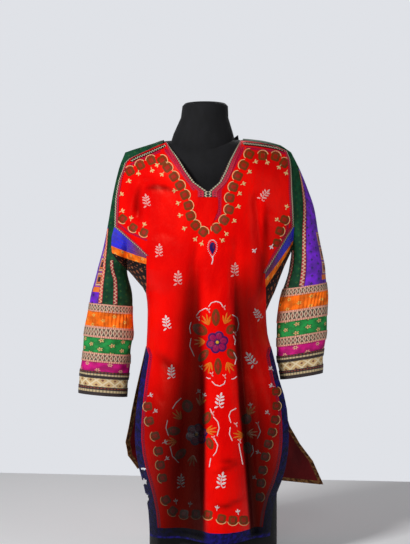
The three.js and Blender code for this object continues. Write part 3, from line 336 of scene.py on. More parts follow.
def form_depth(x, z):
    """Half the form's depth behind a place, as a least depth for the cloth over it."""
    left, right, deep = (curve(FORM, z, k) for k in (1, 2, 3))
    off = (x - (left + right) / 2) / ((right - left) / 2)
    return np.where(z < FORM_FITTED, deep * lobe(off) + FORM_ROOM, 0)


def body_half(z, side, back):
    below = np.clip((SLIT_TOP - z) / 200, 0, 1)
    half = np.abs(curve(side.body, z) - MIDDLE_X) / (1 - HEM_SPREAD * smooth(below))
    if not back:
        return half
    free = np.abs(curve(side.back, z) - MIDDLE_X) / curve(side.back, z, 2)
    return np.where(z < SLIT_TOP, free, half)


def shoulder_round(x, z):
    q = np.clip((curve(RIDGE, x) - z) / SHOULDER_ROUND, 0, 1)
    return np.sqrt(2 * q - q * q)


def side_depth(side, x, z, back):
    under_x, under_z = side.armhole[-1]
    full = curve(BACK_DEPTH if back else FRONT_DEPTH, z)
    fold = fold_at(BACK_FOLDS if back else FRONT_FOLDS, x, z) + fine_creases(x, z, back)
    u = (x - MIDDLE_X) / body_half(z, side, back)
    low = np.maximum(0, full * lobe(u) - fold * smooth(3 * (1 - np.abs(u))))
    least = form_depth(x, z) * smooth(3 * (1 - np.abs(u)))
    low = (low + least + np.sqrt((low - least) ** 2 + FORM_SOFT ** 2 * (least > 0))) / 2
    outer = curve(side.outer, z)
    v = np.abs((x - MIDDLE_X) / (outer - MIDDLE_X))
    turn = shoulder_round(x, z)
    rest = np.maximum(0, 1 - v * v) ** ROUNDNESS.power
    wide = full * (ROUNDNESS.oval * lobe(v) + ROUNDNESS.rest * rest)
    in_body = np.abs(x - MIDDLE_X) < abs(under_x - MIDDLE_X)
    arm = (outer + under_x) / 2
    pinched = np.where(
        in_body, full * lobe((x - MIDDLE_X) / (under_x - MIDDLE_X)),
        curve(SLEEVE_DEPTH, z) * lobe((x - arm) / (outer - arm)))
    soft = GROOVE * smooth((z - under_z) / SOFT_REACH) * np.clip(3 - 3 * v, 0, 1)
    mixed = mix(pinched, wide, smooth((z - under_z) / ARMHOLE_BLEND))
    least = np.where(v < 0.9, LAYERS * smooth(turn * 4), 0)
    high = np.maximum(least, np.hypot(mixed, soft) * turn - fold * smooth(3 * (1 - v)) * turn)
    return np.where(z <= under_z, low, high)


def body_depth(x, z, back):
    """Distance of the cloth from the robe's middle plane at a place in the front view."""
    x, z = np.broadcast_arrays(np.asarray(x, float), np.asarray(z, float))
    left, right = side_depth(LEFT, x, z, back), side_depth(RIGHT, x, z, back)
    return np.where(x < MIDDLE_X, left, right)


def unit(vectors):
    return vectors / np.maximum(np.linalg.norm(vectors, axis=-1, keepdims=True), 1e-9)


def on_body(x, z, back):
    """Points of the body's outer face, and the way they face."""
    reach = NORMAL_REACH
    x, z = np.broadcast_arrays(np.asarray(x, float), np.asarray(z, float))
    deep = body_depth(x, z, back)
    facing = 1 if back else -1
    slope_x = (body_depth(x - reach, z, back) ** 2 - body_depth(x + reach, z, back) ** 2) / (2 * reach)
    slope_z = (body_depth(x, z - reach, back) ** 2 - body_depth(x, z + reach, back) ** 2) / (2 * reach)
    n = np.stack([slope_x, 2 * deep * facing, slope_z], -1)
    flat = np.linalg.norm(n, axis=-1) < 1e-6
    n[flat] = np.stack([x - MIDDLE_X, 0 * x, 0 * x], -1)[flat]
    return np.stack([x, deep * facing, z], -1), unit(n)


def sleeve_span(side, z):
    outer, inner = curve(side.outer, z), curve(side.inner, z)
    return (outer + inner) / 2, (outer - inner) / 2


def sleeve_crumple(side, turn, z):
    """Small creases of a sleeve, by the angle round it and the height."""
    under = side.armhole[-1][1]
    fade = smooth((under - z) / 60) * smooth((z - side.cuff + 5) / 60)
    slant = z / 34 + 1.3 * np.sin(turn + 0.6)
    waves = np.sin(slant + 2 * np.cos(turn * 2)) + 0.6 * np.sin(2.3 * slant - 3 * turn)
    return fade * (1.3 * waves + 0.7 * np.sin(5 * turn + z / 21))


def on_sleeve(side, angle, level):
    """Points round a sleeve: angle 0 is its outer line, 90 the front, 180 the inner line."""
    angle, level = np.broadcast_arrays(np.asarray(angle, float), np.asarray(level, float))
    turn = np.radians(angle)
    under = side.armhole[-1][1]
    _, start_half = sleeve_span(side, level)
    tilt = side.tilt * smooth((under - level) / 90)
    z = level - tilt * np.abs(start_half) * np.cos(turn)
    middle, half = sleeve_span(side, z)
    x = middle + half * np.cos(turn)
    deep, back_set = curve(SLEEVE_DEPTH, z), curve(SLEEVE_BACK_SET, z)
    y = back_set - deep * np.sin(turn)

    def shape(pz):
        m, h = sleeve_span(side, pz)
        through = (y - curve(SLEEVE_BACK_SET, pz)) / curve(SLEEVE_DEPTH, pz)
        return ((x - m) / h) ** 2 + through ** 2

    n = unit(np.stack([2 * np.cos(turn) / half, -2 * np.sin(turn) / deep,
                       (shape(z + 1) - shape(z - 1)) / 2], -1))
    p = np.stack([x, y, z], -1) + n * sleeve_crumple(side, turn, z)[..., None]
    front, back = on_body(x, z, False), on_body(x, z, True)
    is_back = (np.sin(turn) < 0)[..., None]
    above = (z > under)[..., None]
    body_p = np.where(is_back, back[0], front[0])
    body_n = np.where(is_back, back[1], front[1])
    return np.where(above, body_p, p), np.where(above, body_n, n)


def angle_of(side, place):
    middle, half = sleeve_span(side, place[1])
    return math.degrees(math.acos(max(-1, min(1, (place[0] - middle) / half))))


# Flat nets of places, as rows of places that run upwards
def finer(net, rows, columns):
    """A net with more rows and columns, evenly between those it has."""
    net = np.asarray(net, float)
    for axis, times in ((0, rows), (1, columns)):
        count = net.shape[axis]
        at = np.linspace(0, count - 1, (count - 1) * times + 1)
        low = np.minimum(at.astype(int), count - 2)
        share = (at - low).reshape([-1 if k == axis else 1 for k in range(3)])
        net = mix(np.take(net, low, axis), np.take(net, low + 1, axis), share)
    return net


def patch(top, bottom, left, right):
    """A net filled in between its four edges."""
    top, bottom = np.asarray(top, float), np.asarray(bottom, float)
    left, right = np.asarray(left, float), np.asarray(right, float)
    t = np.linspace(0, 1, len(left))[:, None, None]
    s = np.linspace(0, 1, len(top))[None, :, None]
    corners = mix(mix(left[0], right[0], s), mix(left[-1], right[-1], s), t)
    return mix(bottom[None], top[None], t) + mix(left[:, None], right[:, None], s) - corners


def panel_edge(side, z):
    bound = curve(SLIT_BINDING, z) if z < SLIT_TOP else 0
    return float(curve(side.body, z) - side.sign * bound), z


def upper_edge(side):
    return [(float(curve(side.body, z)) if x is None else x, z) for x, z in side.sections]


def front_edge(side):
    return [panel_edge(side, z) for z in SKIRT_LEVELS] + upper_edge(side)


def middle_line(edges, neck_x, neck):
    shared = len(edges[0]) - len(neck)
    low = [(neck_x, (a[1] + b[1]) / 2) for a, b in zip(*edges)][:shared]
    return low + list(neck)


def half_panel(edge, middle, columns):
    """Half of a panel's net, from its side edge to its middle line."""
    t = np.linspace(0, 1, columns + 1)
    share = mix(t, 1 - np.cos(t * math.pi / 2), 0.5)[None, :, None]
    return mix(np.array(edge, float)[:, None], np.array(middle, float)[:, None], share)


def front_half(side):
    edges = [front_edge(LEFT), front_edge(RIGHT)]
    edge = edges[0] if side is LEFT else edges[1]
    return half_panel(edge, middle_line(edges, FRONT_MIDDLE, side.neck), PANEL_COLUMNS)


def back_edge(side):
    def skirt(z):
        if z < SLIT_TOP:
            return float(curve(side.back, z)) - side.sign * BACK_BINDING, z
        return float(curve(side.body, z)), z

    corner = skirt(side.back_hem + BACK_BINDING)
    above = [place for place in upper_edge(side) if place[1] > side.armhole[0][1]]
    return [corner, *[skirt(z) for z in side.back_levels], *side.armhole[::-1], *above]


def back_half(side):
    edges = [back_edge(LEFT), back_edge(RIGHT)]
    edge = edges[0] if side is LEFT else edges[1]
    return half_panel(edge, middle_line(edges, BACK_MIDDLE, side.back_neck), BACK_COLUMNS)


def turn_in(silhouette, edge, a):
    return mix(np.array(silhouette, float), np.array(edge, float), 1 - math.cos(a * math.pi / 2))


def band_nets(side):
    """The shoulder band's front and back nets, from its ridge to the panel's edge."""
    edges = [place for place in upper_edge(side) if place[1] >= side.band_top]
    tips = [(float(curve(side.outer, z)), z) for _, z in edges[:-len(side.tips)]] + side.tips
    turns = np.linspace(0, 1, 10)
    return np.array([[turn_in(tip, edge, a) for a in turns] for tip, edge in zip(tips, edges)])


def gore_lines(side):
    starts = [side.armhole[k] for k in (0, 2, 3, 4, 6)]
    sections = upper_edge(side)
    first = [z for _, z in sections].index(side.armhole[0][1])
    lines = [[sections[first - k] for k in range(5)]]
    for number in range(1, 5):
        end = next(place for place in sections if place[1] == side.gore[number])
        line = []
        for s in (0, 0.25, 0.5, 0.75, 1):
            x, z = mix(np.array(starts[number]), np.array(end), s)
            if number == 4:
                line.append((float(curve(side.body, z)), z))
            else:
                line.append((x, z - 5 * number * s * (1 - s)))
        lines.append(line)
    return lines


def distances(points):
    """How far along a line each of its points lies."""
    return np.concatenate([[0], np.cumsum(np.hypot(*np.diff(points, axis=0).T))])


def places_at(at, knots, points):
    return np.stack([np.interp(at, knots, points[:, k]) for k in (0, 1)], -1)


def spread_out(places, steps):
    places = np.array(places, float)
    return places_at(np.linspace(0, len(places) - 1, steps + 1), range(len(places)), places)


def gore_net(side, band):
    lines = gore_lines(side)
    panel = [place for place in upper_edge(side) if side.gore[4] <= place[1] <= side.gore[0]][::-1]
    heights = [z for _, z in panel]
    ends = [heights.index(z) for z in side.gore]
    arm = [side.armhole[k] for k in ([0, 1, 2], [2, 3], [3, 4], [4, 5, 6])[band]]
    beside = panel[ends[band]:ends[band + 1] + 1]
    steps = max(len(arm), len(beside)) - 1
    return patch(lines[band], lines[band + 1], spread_out(arm, steps)[::-1],
                 spread_out(beside, steps)[::-1])


def band_corner(side, a):
    edge = next(place for place in upper_edge(side) if place[1] == side.band_top)
    return turn_in((float(curve(side.outer, side.band_top)), side.band_top), edge, a)


def outer_seam(side, z, back):
    top = angle_of(side, band_corner(side, 1 / 3))
    drop = side.band_top - side.armhole[-1][1]
    t = min(1, max(0, (side.band_top - z) / drop)) ** side.seam_ease
    return -mix(top, side.seams["outer_back"], t) if back else mix(top, side.seams["outer_front"], t)


def inner_seam(side, z, back):
    start = side.armhole[3]
    t = min(1, max(0, (start[1] - z) / 60))
    angle = mix(angle_of(side, start), side.seams["inner_back" if back else "inner_front"], t)
    return -angle if back else angle


def strip_edge(side, back):
    """Angles and levels of the green strip's inner edge, from the shoulder to the cuff."""
    facing = -1 if back else 1
    above = [p for p in upper_edge(side) if side.armhole[0][1] < p[1] <= side.band_top][::-1]
    seam = [(facing * angle_of(side, p), p[1]) for p in [*above, *side.armhole[:4]]]
    start = side.armhole[3][1]
    drop = start - side.cuff - CUFF_LENGTH
    levels = [start - t * drop for t in (0.14, 0.3, 0.5, 0.75, 1)]
    return seam + [(inner_seam(side, level, back), level) for level in levels]


def green_net(side, back):
    inner = strip_edge(side, back)[::-1]
    outer = [(outer_seam(side, level, back), level) for _, level in inner]
    facing = -1 if back else 1
    top = [(facing * angle_of(side, band_corner(side, a)), side.band_top) for a in (1 / 3, 2 / 3, 1)]
    bottom = [mix(np.array(outer[0]), np.array(inner[0]), k / 2) for k in range(3)]
    return patch(top, bottom, outer, inner)


def purple_net(side):
    rows = []
    for _, level in strip_edge(side, False)[::-1]:
        front, back = outer_seam(side, level, False), outer_seam(side, level, True)
        rows.append([(-t * back if t < 0 else t * front, level)
                     for t in (-1, -0.66, -0.33, 0, 0.33, 0.66, 1)])
    return np.array(rows)


def under_net(side):
    front = strip_edge(side, False)[-6:][::-1]
    back = [(angle + 360, level) for angle, level in strip_edge(side, True)[-6:][::-1]]
    hole = [(angle_of(side, place), place[1]) for place in side.armhole[3:]]
    top = hole + [(360 - angle, level) for angle, level in hole[:3][::-1]]
    bottom = [mix(np.array(front[0]), np.array(back[0]), j / 6) for j in range(7)]
    return patch(top, bottom, front, back)


def braid_net(side, back, outer):
    edge = strip_edge(side, back)
    levels = [level for _, level in (edge if outer else edge[-6:])]
    start = levels[0] - 4 if outer else levels[1]
    levels = [start, *levels[1 if outer else 2:-1], levels[-1] + 2][::-1]
    spread = math.degrees(side.braid_half / SLEEVE_RADIUS)
    seam = outer_seam if outer else inner_seam
    return np.array([[(seam(side, level, back) + off, level) for off in (-spread, 0, spread)]
                     for level in levels])


def ring_net(side, low, high, columns=150, step=3):
    rows = max(2, round((high - low) / step))
    levels = side.cuff + np.linspace(low, high, rows + 1)
    angles = np.linspace(0, 360, columns + 1)
    return np.stack(np.broadcast_arrays(angles[None], levels[:, None]), -1)


def edge_braid_net(side):
    upper = upper_edge(side)
    first = len(SKIRT_LEVELS) + [z for _, z in upper].index(side.gore[0])
    return front_half(side)[first:, :2]


def neck_braid_net(side):
    return front_half(side)[-len(side.neck) - 1:, -2:]


def insert_net():
    rows = []
    for z in INSERT.levels:
        spread = float(smooth((z - INSERT.levels[0]) / INSERT.taper))
        half = INSERT.half * (INSERT.foot + (1 - INSERT.foot) * spread)
        rows.append([(FRONT_MIDDLE + x, z) for x in (-half, 0, half)])
    return np.array(rows)


def slit_net(side):
    levels = [FRONT_HEM, *SKIRT_LEVELS]
    return np.array([[(float(curve(side.body, z)), z), panel_edge(side, z)] for z in levels])


def hem_net(side):
    edge = [panel_edge(side, z) for z in (FRONT_HEM, SKIRT_LEVELS[0])]
    return half_panel(edge, [(FRONT_MIDDLE, z) for _, z in edge], PANEL_COLUMNS)


def back_foot(side):
    return float(curve(side.back, side.back_hem)) - side.sign * BACK_BINDING, side.back_hem


def back_side_net(side):
    edge = [back_foot(side)] + [place for place in back_edge(side) if place[1] < SLIT_TOP]
    return np.array([[(float(curve(side.back, z)), z), (x, z)] for x, z in edge])


def back_hem_net(side):
    middle = (LEFT.back_hem + RIGHT.back_hem) / 2
    middles = [(BACK_MIDDLE, middle), (BACK_MIDDLE, middle + BACK_BINDING)]
    return half_panel([back_foot(side), back_edge(side)[0]], middles, BACK_COLUMNS)


# Pieces of cloth
def as_mesh(name, points, faces, layers):
    mesh = bpy.data.meshes.new(name)
    mesh.from_pydata([tuple(p) for p in points * MM], [], [tuple(f) for f in faces])
    corners = np.empty(len(mesh.loops), int)
    mesh.loops.foreach_get("vertex_index", corners)
    for layer, values in layers.items():
        mesh.uv_layers.new(name=layer).data.foreach_set("uv", values[corners].ravel())
    mesh.polygons.foreach_set("use_smooth", np.ones(len(mesh.polygons), bool))
    mesh.update()
    return mesh


@contextmanager
def edited(mesh):
    work = bmesh.new()
    work.from_mesh(mesh)
    yield work
    work.to_mesh(mesh)
    work.free()


def placed(name, mesh, material, node=None):
    """A piece of the robe, which rides on its body and may stand for a CAD node."""
    mesh.materials.append(material)
    piece = bpy.data.objects.new(name, mesh)
    bpy.context.scene.collection.objects.link(piece)
    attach(piece, "root")
    if node:
        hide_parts(node)
    return piece


def grid_faces(rows, columns, start):
    i, j = np.meshgrid(np.arange(rows - 1), np.arange(columns - 1), indexing="ij")
    a = (start + i * columns + j).ravel()
    return np.stack([a, a + 1, a + columns + 1, a + columns], -1)


def run(points, axis):
    """Length along the rows or columns, in millimetres."""
    step = np.linalg.norm(np.diff(points, axis=axis), axis=-1)
    zero = np.zeros_like(np.take(step, [0], axis))
    return np.cumsum(np.concatenate([zero, step], axis), axis)


def parts_of(net, put, flat=None, offset=0):
    """Points, normals and pattern places of one net."""
    p, n = put(net)
    rows, columns = net.shape[:2]
    v, u = np.meshgrid(np.linspace(0, 1, rows), np.linspace(0, 1, columns), indexing="ij")
    if flat is None:
        across, along = run(p, 1), run(p, 0)
        flat_u = across - across.mean(1, keepdims=True)
        flat_v = np.broadcast_to(along.mean(1, keepdims=True), across.shape)
        flat = np.stack([flat_u, flat_v], -1)
    elif callable(flat):
        flat = flat(net)
    return p + n * offset, n, flat, np.stack([u, v], -1)


def longest(p, axis):
    return float(run(p, axis).max()) * MM


PIECES = {}


def cloth(name, nets, material, put, flat=None, offset=0.0,
          weld=0.05, wide=None, torn=None):
    """A thin sheet over the nets, which stands for the CAD node of the same name."""
    points, faces, flats, shares, shades, widths, lengths = [], [], [], [], [], [], []
    start = 0
    for net in nets:
        p, n, flat_uv, share = parts_of(np.asarray(net, float), put, flat, offset)
        rows, columns = p.shape[:2]
        quads = grid_faces(rows, columns, start)
        flat_p, flat_n = p.reshape(-1, 3), n.reshape(-1, 3)
        a, b, d = (flat_p[quads[:, k] - start] for k in (0, 1, 3))
        facing = np.einsum("ij,ij->i", np.cross(b - a, d - a), flat_n[quads[:, 0] - start]).sum()
        faces.append(quads if facing > 0 else quads[:, ::-1])
        points.append(flat_p)
        flats.append(flat_uv.reshape(-1, 2))
        shares.append(share.reshape(-1, 2))
        back = flat_p[:, 1].mean() > 0
        # Painted fold shade for pieces on the body, carried to the material in the shade layer
        shades.append(fold_shade(flat_p[:, 0], flat_p[:, 2], back) * (put in (FRONT, BACK)))
        widths.append(longest(p, 1))
        lengths.append(longest(p, 0))
        start += rows * columns
    points, faces = np.concatenate(points), np.concatenate(faces)
    if torn is not None:
        faces = faces[~torn(points[faces].mean(1))]
    shade = np.concatenate(shades)
    mesh = as_mesh(name, points, faces, {
        "flat": np.concatenate(flats), "share": np.concatenate(shares),
        "shade": np.stack([shade, shade], -1)})
    with edited(mesh) as work:
        bmesh.ops.remove_doubles(work, verts=work.verts, dist=weld * MM)
        bmesh.ops.dissolve_degenerate(work, dist=0.001 * MM, edges=work.edges)
        loose = [vert for vert in work.verts if not vert.link_faces]
        bmesh.ops.delete(work, geom=loose, context="VERTS")
        for edge in work.edges:
            edge.smooth = not edge.is_boundary
        area = sum(face.calc_area() for face in work.faces)
    piece = placed(name + "_cloth", mesh, material, name)
    shell = piece.modifiers.new("thickness", "SOLIDIFY")
    shell.thickness = SHELL * MM
    shell.offset = -1
    width = max(sum(widths) if wide is None else wide(widths), LEAST_WIDTH)
    PIECES[name] = piece
    return piece


def body_put(back):
    return lambda net: on_body(net[..., 0], net[..., 1], back)


def sleeve_put(side, lift=None):
    def put(net):
        p, n = on_sleeve(side, net[..., 0], net[..., 1])
        if lift is not None:
            p = p + n * lift(net)[..., None]
        return p, n
    return put


def body_flat(net):
    return net


def sleeve_flat(side):
    def flat(net):
        u = np.radians(net[..., 0] - 90) * SLEEVE_RADIUS
        return np.stack([u * side.sign, net[..., 1]], -1)
    return flat


# Materials
def screen(*parts):
    """A colour from its values on screen."""
    return tuple((c / 255) ** 2.2 for c in parts) + (1,)


# How dark painted shade makes a colour deep in a fold, and how it eases off towards the fold's edge
PAINTED_SHADE_DARK = 0.03
PAINTED_SHADE_POWER = 1.8


SHEEN_ROUGH = 0.4


class Finish:
    """One material and the nodes of its pattern."""

    def __init__(self, name, rough=0.5, sheen=0.0, specular=0.5):
        self.material = bpy.data.materials.new(name)
        self.material.use_nodes = True
        self.nodes = self.material.node_tree.nodes
        self.links = self.material.node_tree.links
        self.shader = self.nodes["Principled BSDF"]
        self.shader.inputs["Roughness"].default_value = rough
        self.shader.inputs["Sheen Weight"].default_value = sheen
        self.shader.inputs["Sheen Roughness"].default_value = SHEEN_ROUGH
        self.shader.inputs["Specular IOR Level"].default_value = specular

    def join(self, value, socket):
        if isinstance(value, bpy.types.NodeSocket):
            self.links.new(value, socket)
        else:
            socket.default_value = value

    def put(self, kind, values, **settings):
        node = self.nodes.new(kind)
        for key, value in settings.items():
            setattr(node, key, value)
        for key, value in values.items():
            self.join(value, node.inputs[key])
        return node

    def do(self, operation, *values):
        return self.put("ShaderNodeMath", dict(enumerate(values)), operation=operation).outputs[0]

    def place(self, layer="flat"):
        uv = self.put("ShaderNodeUVMap", {}, uv_map=layer).outputs[0]
        parts = self.put("ShaderNodeSeparateXYZ", {0: uv})
        return uv, parts.outputs[0], parts.outputs[1]

    def noise(self, scale, detail=2.0, stretch=(1, 1, 1)):
        uv = self.place()[0]
        moved = self.put("ShaderNodeMapping", {0: uv, 3: stretch}).outputs[0]
        return self.put("ShaderNodeTexNoise", {0: moved, "Scale": scale, "Detail": detail}).outputs[0]

    def shade(self, share, first, second):
        node = self.put("ShaderNodeMix", {0: share, 6: first, 7: second}, data_type="RGBA")
        return node.outputs[2]

    def step(self, value, low, high):
        node = self.put("ShaderNodeMapRange", {0: value, 1: low, 2: high}, interpolation_type="SMOOTHSTEP")
        return node.outputs[0]

    def wave(self, value, period):
        return self.do("SINE", self.do("MULTIPLY", value, 2 * math.pi / period))

    def triangle(self, value, period):
        return self.do("PINGPONG", self.do("DIVIDE", value, period / 2), 1.0)

    def cells(self, u, v, wide, high, drop=0.5):
        """Places inside the cells of a half-drop repeat, from -0.5 to 0.5."""
        across = self.do("DIVIDE", u, wide)
        column = self.do("FLOOR", across)
        odd = self.do("FLOORED_MODULO", column, 2.0)
        up = self.do("MULTIPLY_ADD", odd, drop, self.do("DIVIDE", v, high))
        inside = [self.do("SUBTRACT", self.do("FRACT", value), 0.5) for value in (across, up)]
        return inside[0], inside[1]

    def flower(self, u, v, radius, petals, soft=0.04, turn=0.0):
        angle = self.do("ADD", self.do("ARCTAN2", v, u), turn)
        round_ = self.do("COSINE", self.do("MULTIPLY", angle, float(petals)))
        edge = self.do("MULTIPLY_ADD", round_, 0.28 * radius, 0.72 * radius)
        gap = self.do("SUBTRACT", edge, self.far(u, v))
        return self.step(gap, -soft, soft)

    def far(self, u, v):
        return self.do("SQRT", self.do("ADD", self.do("MULTIPLY", u, u), self.do("MULTIPLY", v, v)))

    def wear(self, colour, amount=0.25, scale=0.05):
        """A colour that fades and darkens in soft patches."""
        dark = self.put("ShaderNodeHueSaturation", {"Value": 1 - amount, "Color": colour}).outputs[0]
        light = self.put("ShaderNodeHueSaturation", {"Value": 1 + amount, "Color": colour}).outputs[0]
        return self.shade(self.step(self.noise(scale, 3.0), 0.35, 0.65), dark, light)

    def end(self, colour, height=None, strength=0.3, deep=0.0004, rough=None, painted_shade=True):
        # Painted shade: the colour is darkened as the shade layer rises deep in a fold
        if painted_shade:
            light = self.do("POWER", self.do("SUBTRACT", 1.0, self.place("shade")[1]), PAINTED_SHADE_POWER)
            dark = self.put("ShaderNodeHueSaturation", {"Value": PAINTED_SHADE_DARK, "Color": colour}).outputs[0]
            colour = self.shade(light, dark, colour)
        self.join(colour, self.shader.inputs["Base Color"])
        if height is not None:
            bump = self.put("ShaderNodeBump", {"Strength": strength, "Distance": deep, "Height": height})
            self.join(bump.outputs[0], self.shader.inputs["Normal"])
        if rough is not None:
            self.join(rough, self.shader.inputs["Roughness"])
        return self.material


def weave(f, pitch=1.2):
    _, u, v = f.place()
    return f.do("MULTIPLY", f.wave(u, pitch), f.wave(v, pitch))


def satin():
    f = Finish("red_satin", rough=0.45, specular=0.3)
    f.shader.inputs["Specular Tint"].default_value = (1, 0.2, 0.12, 1)
    slow = f.noise(0.012, 3.0, (1, 0.5, 1))
    colour = f.shade(f.step(slow, 0.3, 0.7), screen(222, 4, 10), screen(255, 14, 6))
    crumple = f.noise(0.045, 3.0, (1, 0.45, 1))
    fine = f.noise(0.16, 2.0, (1, 0.7, 1))
    height = f.do("MULTIPLY_ADD", fine, 0.22, crumple)
    rough = f.do("MULTIPLY_ADD", slow, 0.16, 0.32)
    return f.end(colour, height, 0.55, 0.004, rough)


def figured(name, ground, figure, heart, wide, high, radius, petals, rough=0.6, patch=None):
    """A silk with a repeat of small flowers."""
    f = Finish(name, rough=rough, sheen=0.04, specular=0.2)
    _, u, v = f.place()
    a, b = f.cells(u, v, wide, high)
    b = f.do("MULTIPLY", b, high / wide)
    colour = f.wear(ground, 0.3)
    if patch is not None:
        colour = f.shade(f.flower(a, b, radius * 1.5, petals), colour, patch)
    colour = f.shade(f.flower(a, b, radius, petals), colour, figure)
    colour = f.shade(f.flower(a, b, radius * 0.4, 3), colour, heart)
    height = f.do("MULTIPLY_ADD", f.noise(0.05), 3.0, f.do("MULTIPLY", weave(f), 0.15))
    return f.end(colour, height, 0.5, 0.0012)


def purple(side):
    """Purple silk with a column of framed squares on its front."""
    f = Finish("purple_silk_" + side.name, rough=0.45, sheen=0.2)
    _, u, v = f.place()
    colour = f.wear(screen(104, 8, 190), 0.35)
    spot = f.flower(*f.cells(u, v, 16.0, 20.0), 0.2, 4)
    colour = f.shade(spot, colour, screen(36, 20, 90))
    line = f.do("ABSOLUTE", f.do("SUBTRACT", f.do("ABSOLUTE", u), SQUARES[side.name]))
    above = f.do("SUBTRACT", v, SQUARE_LOW[side.name])
    up = f.do("SUBTRACT", f.do("FRACT", f.do("DIVIDE", above, 37.0)), 0.5)
    reach = f.do("MAXIMUM", f.do("DIVIDE", line, 27.0), f.do("ABSOLUTE", up))
    shown = f.do("MULTIPLY", f.do("GREATER_THAN", above, 0.0), f.do("LESS_THAN", above, 111.0))
    bar = f.do("MULTIPLY", f.do("LESS_THAN", line, 16.0),
               f.do("LESS_THAN", f.do("ABSOLUTE", f.do("ADD", above, 8.0)), 7.0))
    colour = f.shade(bar, colour, screen(240, 116, 30))
    tones = [(0.46, screen(196, 120, 60)), (0.4, screen(222, 190, 160)), (0.33, screen(150, 60, 60)),
             (0.26, screen(220, 120, 50)), (0.18, screen(40, 26, 50))]
    for edge, tone in tones:
        mask = f.do("MULTIPLY", f.do("LESS_THAN", reach, edge), shown)
        colour = f.shade(mask, colour, tone)
    height = f.do("MULTIPLY_ADD", f.noise(0.05), 3.0, f.do("MULTIPLY", weave(f), 0.15))
    return f.end(colour, height, 0.5, 0.0012)


def blue_stripes():
    f = Finish("blue_silk", rough=0.45, sheen=0.2)
    _, s, _ = f.place("share")
    _, u, v = f.place()
    stripes = f.step(f.wave(v, 7.0), -0.2, 0.2)
    blue = f.shade(stripes, screen(20, 30, 214), screen(48, 30, 196))
    dark = f.shade(stripes, screen(140, 10, 60), screen(70, 6, 96))
    colour = f.shade(f.step(s, 0.35, 0.8), f.wear(blue, 0.2), f.wear(dark, 0.3))
    return f.end(colour, f.do("MULTIPLY_ADD", f.noise(0.06), 3.0, weave(f)), 0.4, 0.001)


def brocade():
    f = Finish("gold_brocade", rough=0.42, specular=0.6)
    _, u, v = f.place()
    first = f.triangle(f.do("ADD", u, v), 22.0)
    second = f.triangle(f.do("SUBTRACT", u, v), 22.0)
    line = f.do("MAXIMUM", first, second)
    lattice = f.step(line, 0.72, 0.86)
    heart = f.step(f.do("MAXIMUM", f.do("ABSOLUTE", first), second), 0.3, 0.22)
    colour = f.wear(screen(206, 172, 118), 0.2)
    colour = f.shade(lattice, colour, screen(236, 216, 176))
    colour = f.shade(heart, colour, screen(120, 60, 44))
    height = f.do("MULTIPLY_ADD", lattice, 1.0, f.do("MULTIPLY", weave(f), 0.2))
    return f.end(colour, height, 0.5, 0.0008)


def edging():
    """Dark ribbon with a cream line along its middle."""
    f = Finish("dark_edge", rough=0.6, sheen=0.2)
    _, _, t = f.place("share")
    _, u, _ = f.place()
    gap = f.do("ABSOLUTE", f.do("SUBTRACT", t, 0.52))
    ticks = f.step(f.wave(u, 6.0), -0.6, 0.0)
    cream = f.do("MULTIPLY", f.step(gap, 0.15, 0.1), f.do("MULTIPLY_ADD", ticks, 0.5, 0.5))
    colour = f.wear(screen(44, 30, 30), 0.4)
    colour = f.shade(cream, colour, screen(206, 184, 140))
    rust = f.do("MULTIPLY", f.step(f.do("ABSOLUTE", f.do("SUBTRACT", t, 0.85)), 0.07, 0.03), ticks)
    colour = f.shade(rust, colour, screen(150, 60, 40))
    return f.end(colour, f.do("MULTIPLY_ADD", cream, 2.0, weave(f)), 0.4, 0.0005)


def lace():
    """Metal lace: pink and cream lozenges on a dark ground."""
    f = Finish("lace", rough=0.45, specular=0.6)
    _, _, t = f.place("share")
    _, u, v = f.place()
    along = f.do("SUBTRACT", f.do("FRACT", f.do("DIVIDE", u, 7.5)), 0.5)
    gap = f.do("ABSOLUTE", f.do("SUBTRACT", t, 0.5))
    reach = f.do("ADD", f.do("ABSOLUTE", along), f.do("MULTIPLY", gap, 1.1))
    colour = f.wear(screen(92, 66, 48), 0.4)
    colour = f.shade(f.step(reach, 0.5, 0.44), colour, screen(226, 200, 168))
    colour = f.shade(f.step(reach, 0.3, 0.24), colour, screen(150, 86, 70))
    rim = f.step(gap, 0.3, 0.34)
    colour = f.shade(rim, colour, screen(236, 178, 150))
    colour = f.shade(f.do("MULTIPLY", rim, f.step(f.wave(u, 4.0), 0.2, 0.6)), colour, screen(196, 110, 96))
    return f.end(colour, f.do("MULTIPLY_ADD", reach, -3.0, weave(f)), 0.5, 0.0006)


def zigzag(name, start, run_):
    """Metal thread in a zigzag on black; beyond its share of the width, a crimson guard stripe."""
    f = Finish(name, rough=0.5)
    _, s, _ = f.place("share")
    _, _, v = f.place()
    across = f.do("DIVIDE", f.do("SUBTRACT", s, start), run_)
    swing = f.do("MULTIPLY_ADD", f.triangle(v, 6.5), 0.44, 0.28)
    thread = f.step(f.do("ABSOLUTE", f.do("SUBTRACT", across, swing)), 0.26, 0.12)
    colour = f.wear(screen(16, 12, 12), 0.3)
    colour = f.shade(thread, colour, screen(204, 190, 160))
    guard = f.wear(screen(204, 2, 56), 0.2, 0.3)
    dots = f.do("MULTIPLY", f.step(f.wave(v, 5.0), 0.1, 0.6),
                f.step(f.do("ABSOLUTE", f.do("SUBTRACT", across, 1.7)), 0.3, 0.15))
    guard = f.shade(dots, guard, screen(70, 8, 40))
    colour = f.shade(f.do("GREATER_THAN", across, 1.0), colour, guard)
    return f.end(colour, f.do("MULTIPLY_ADD", thread, 2.0, weave(f)), 0.5, 0.0006)


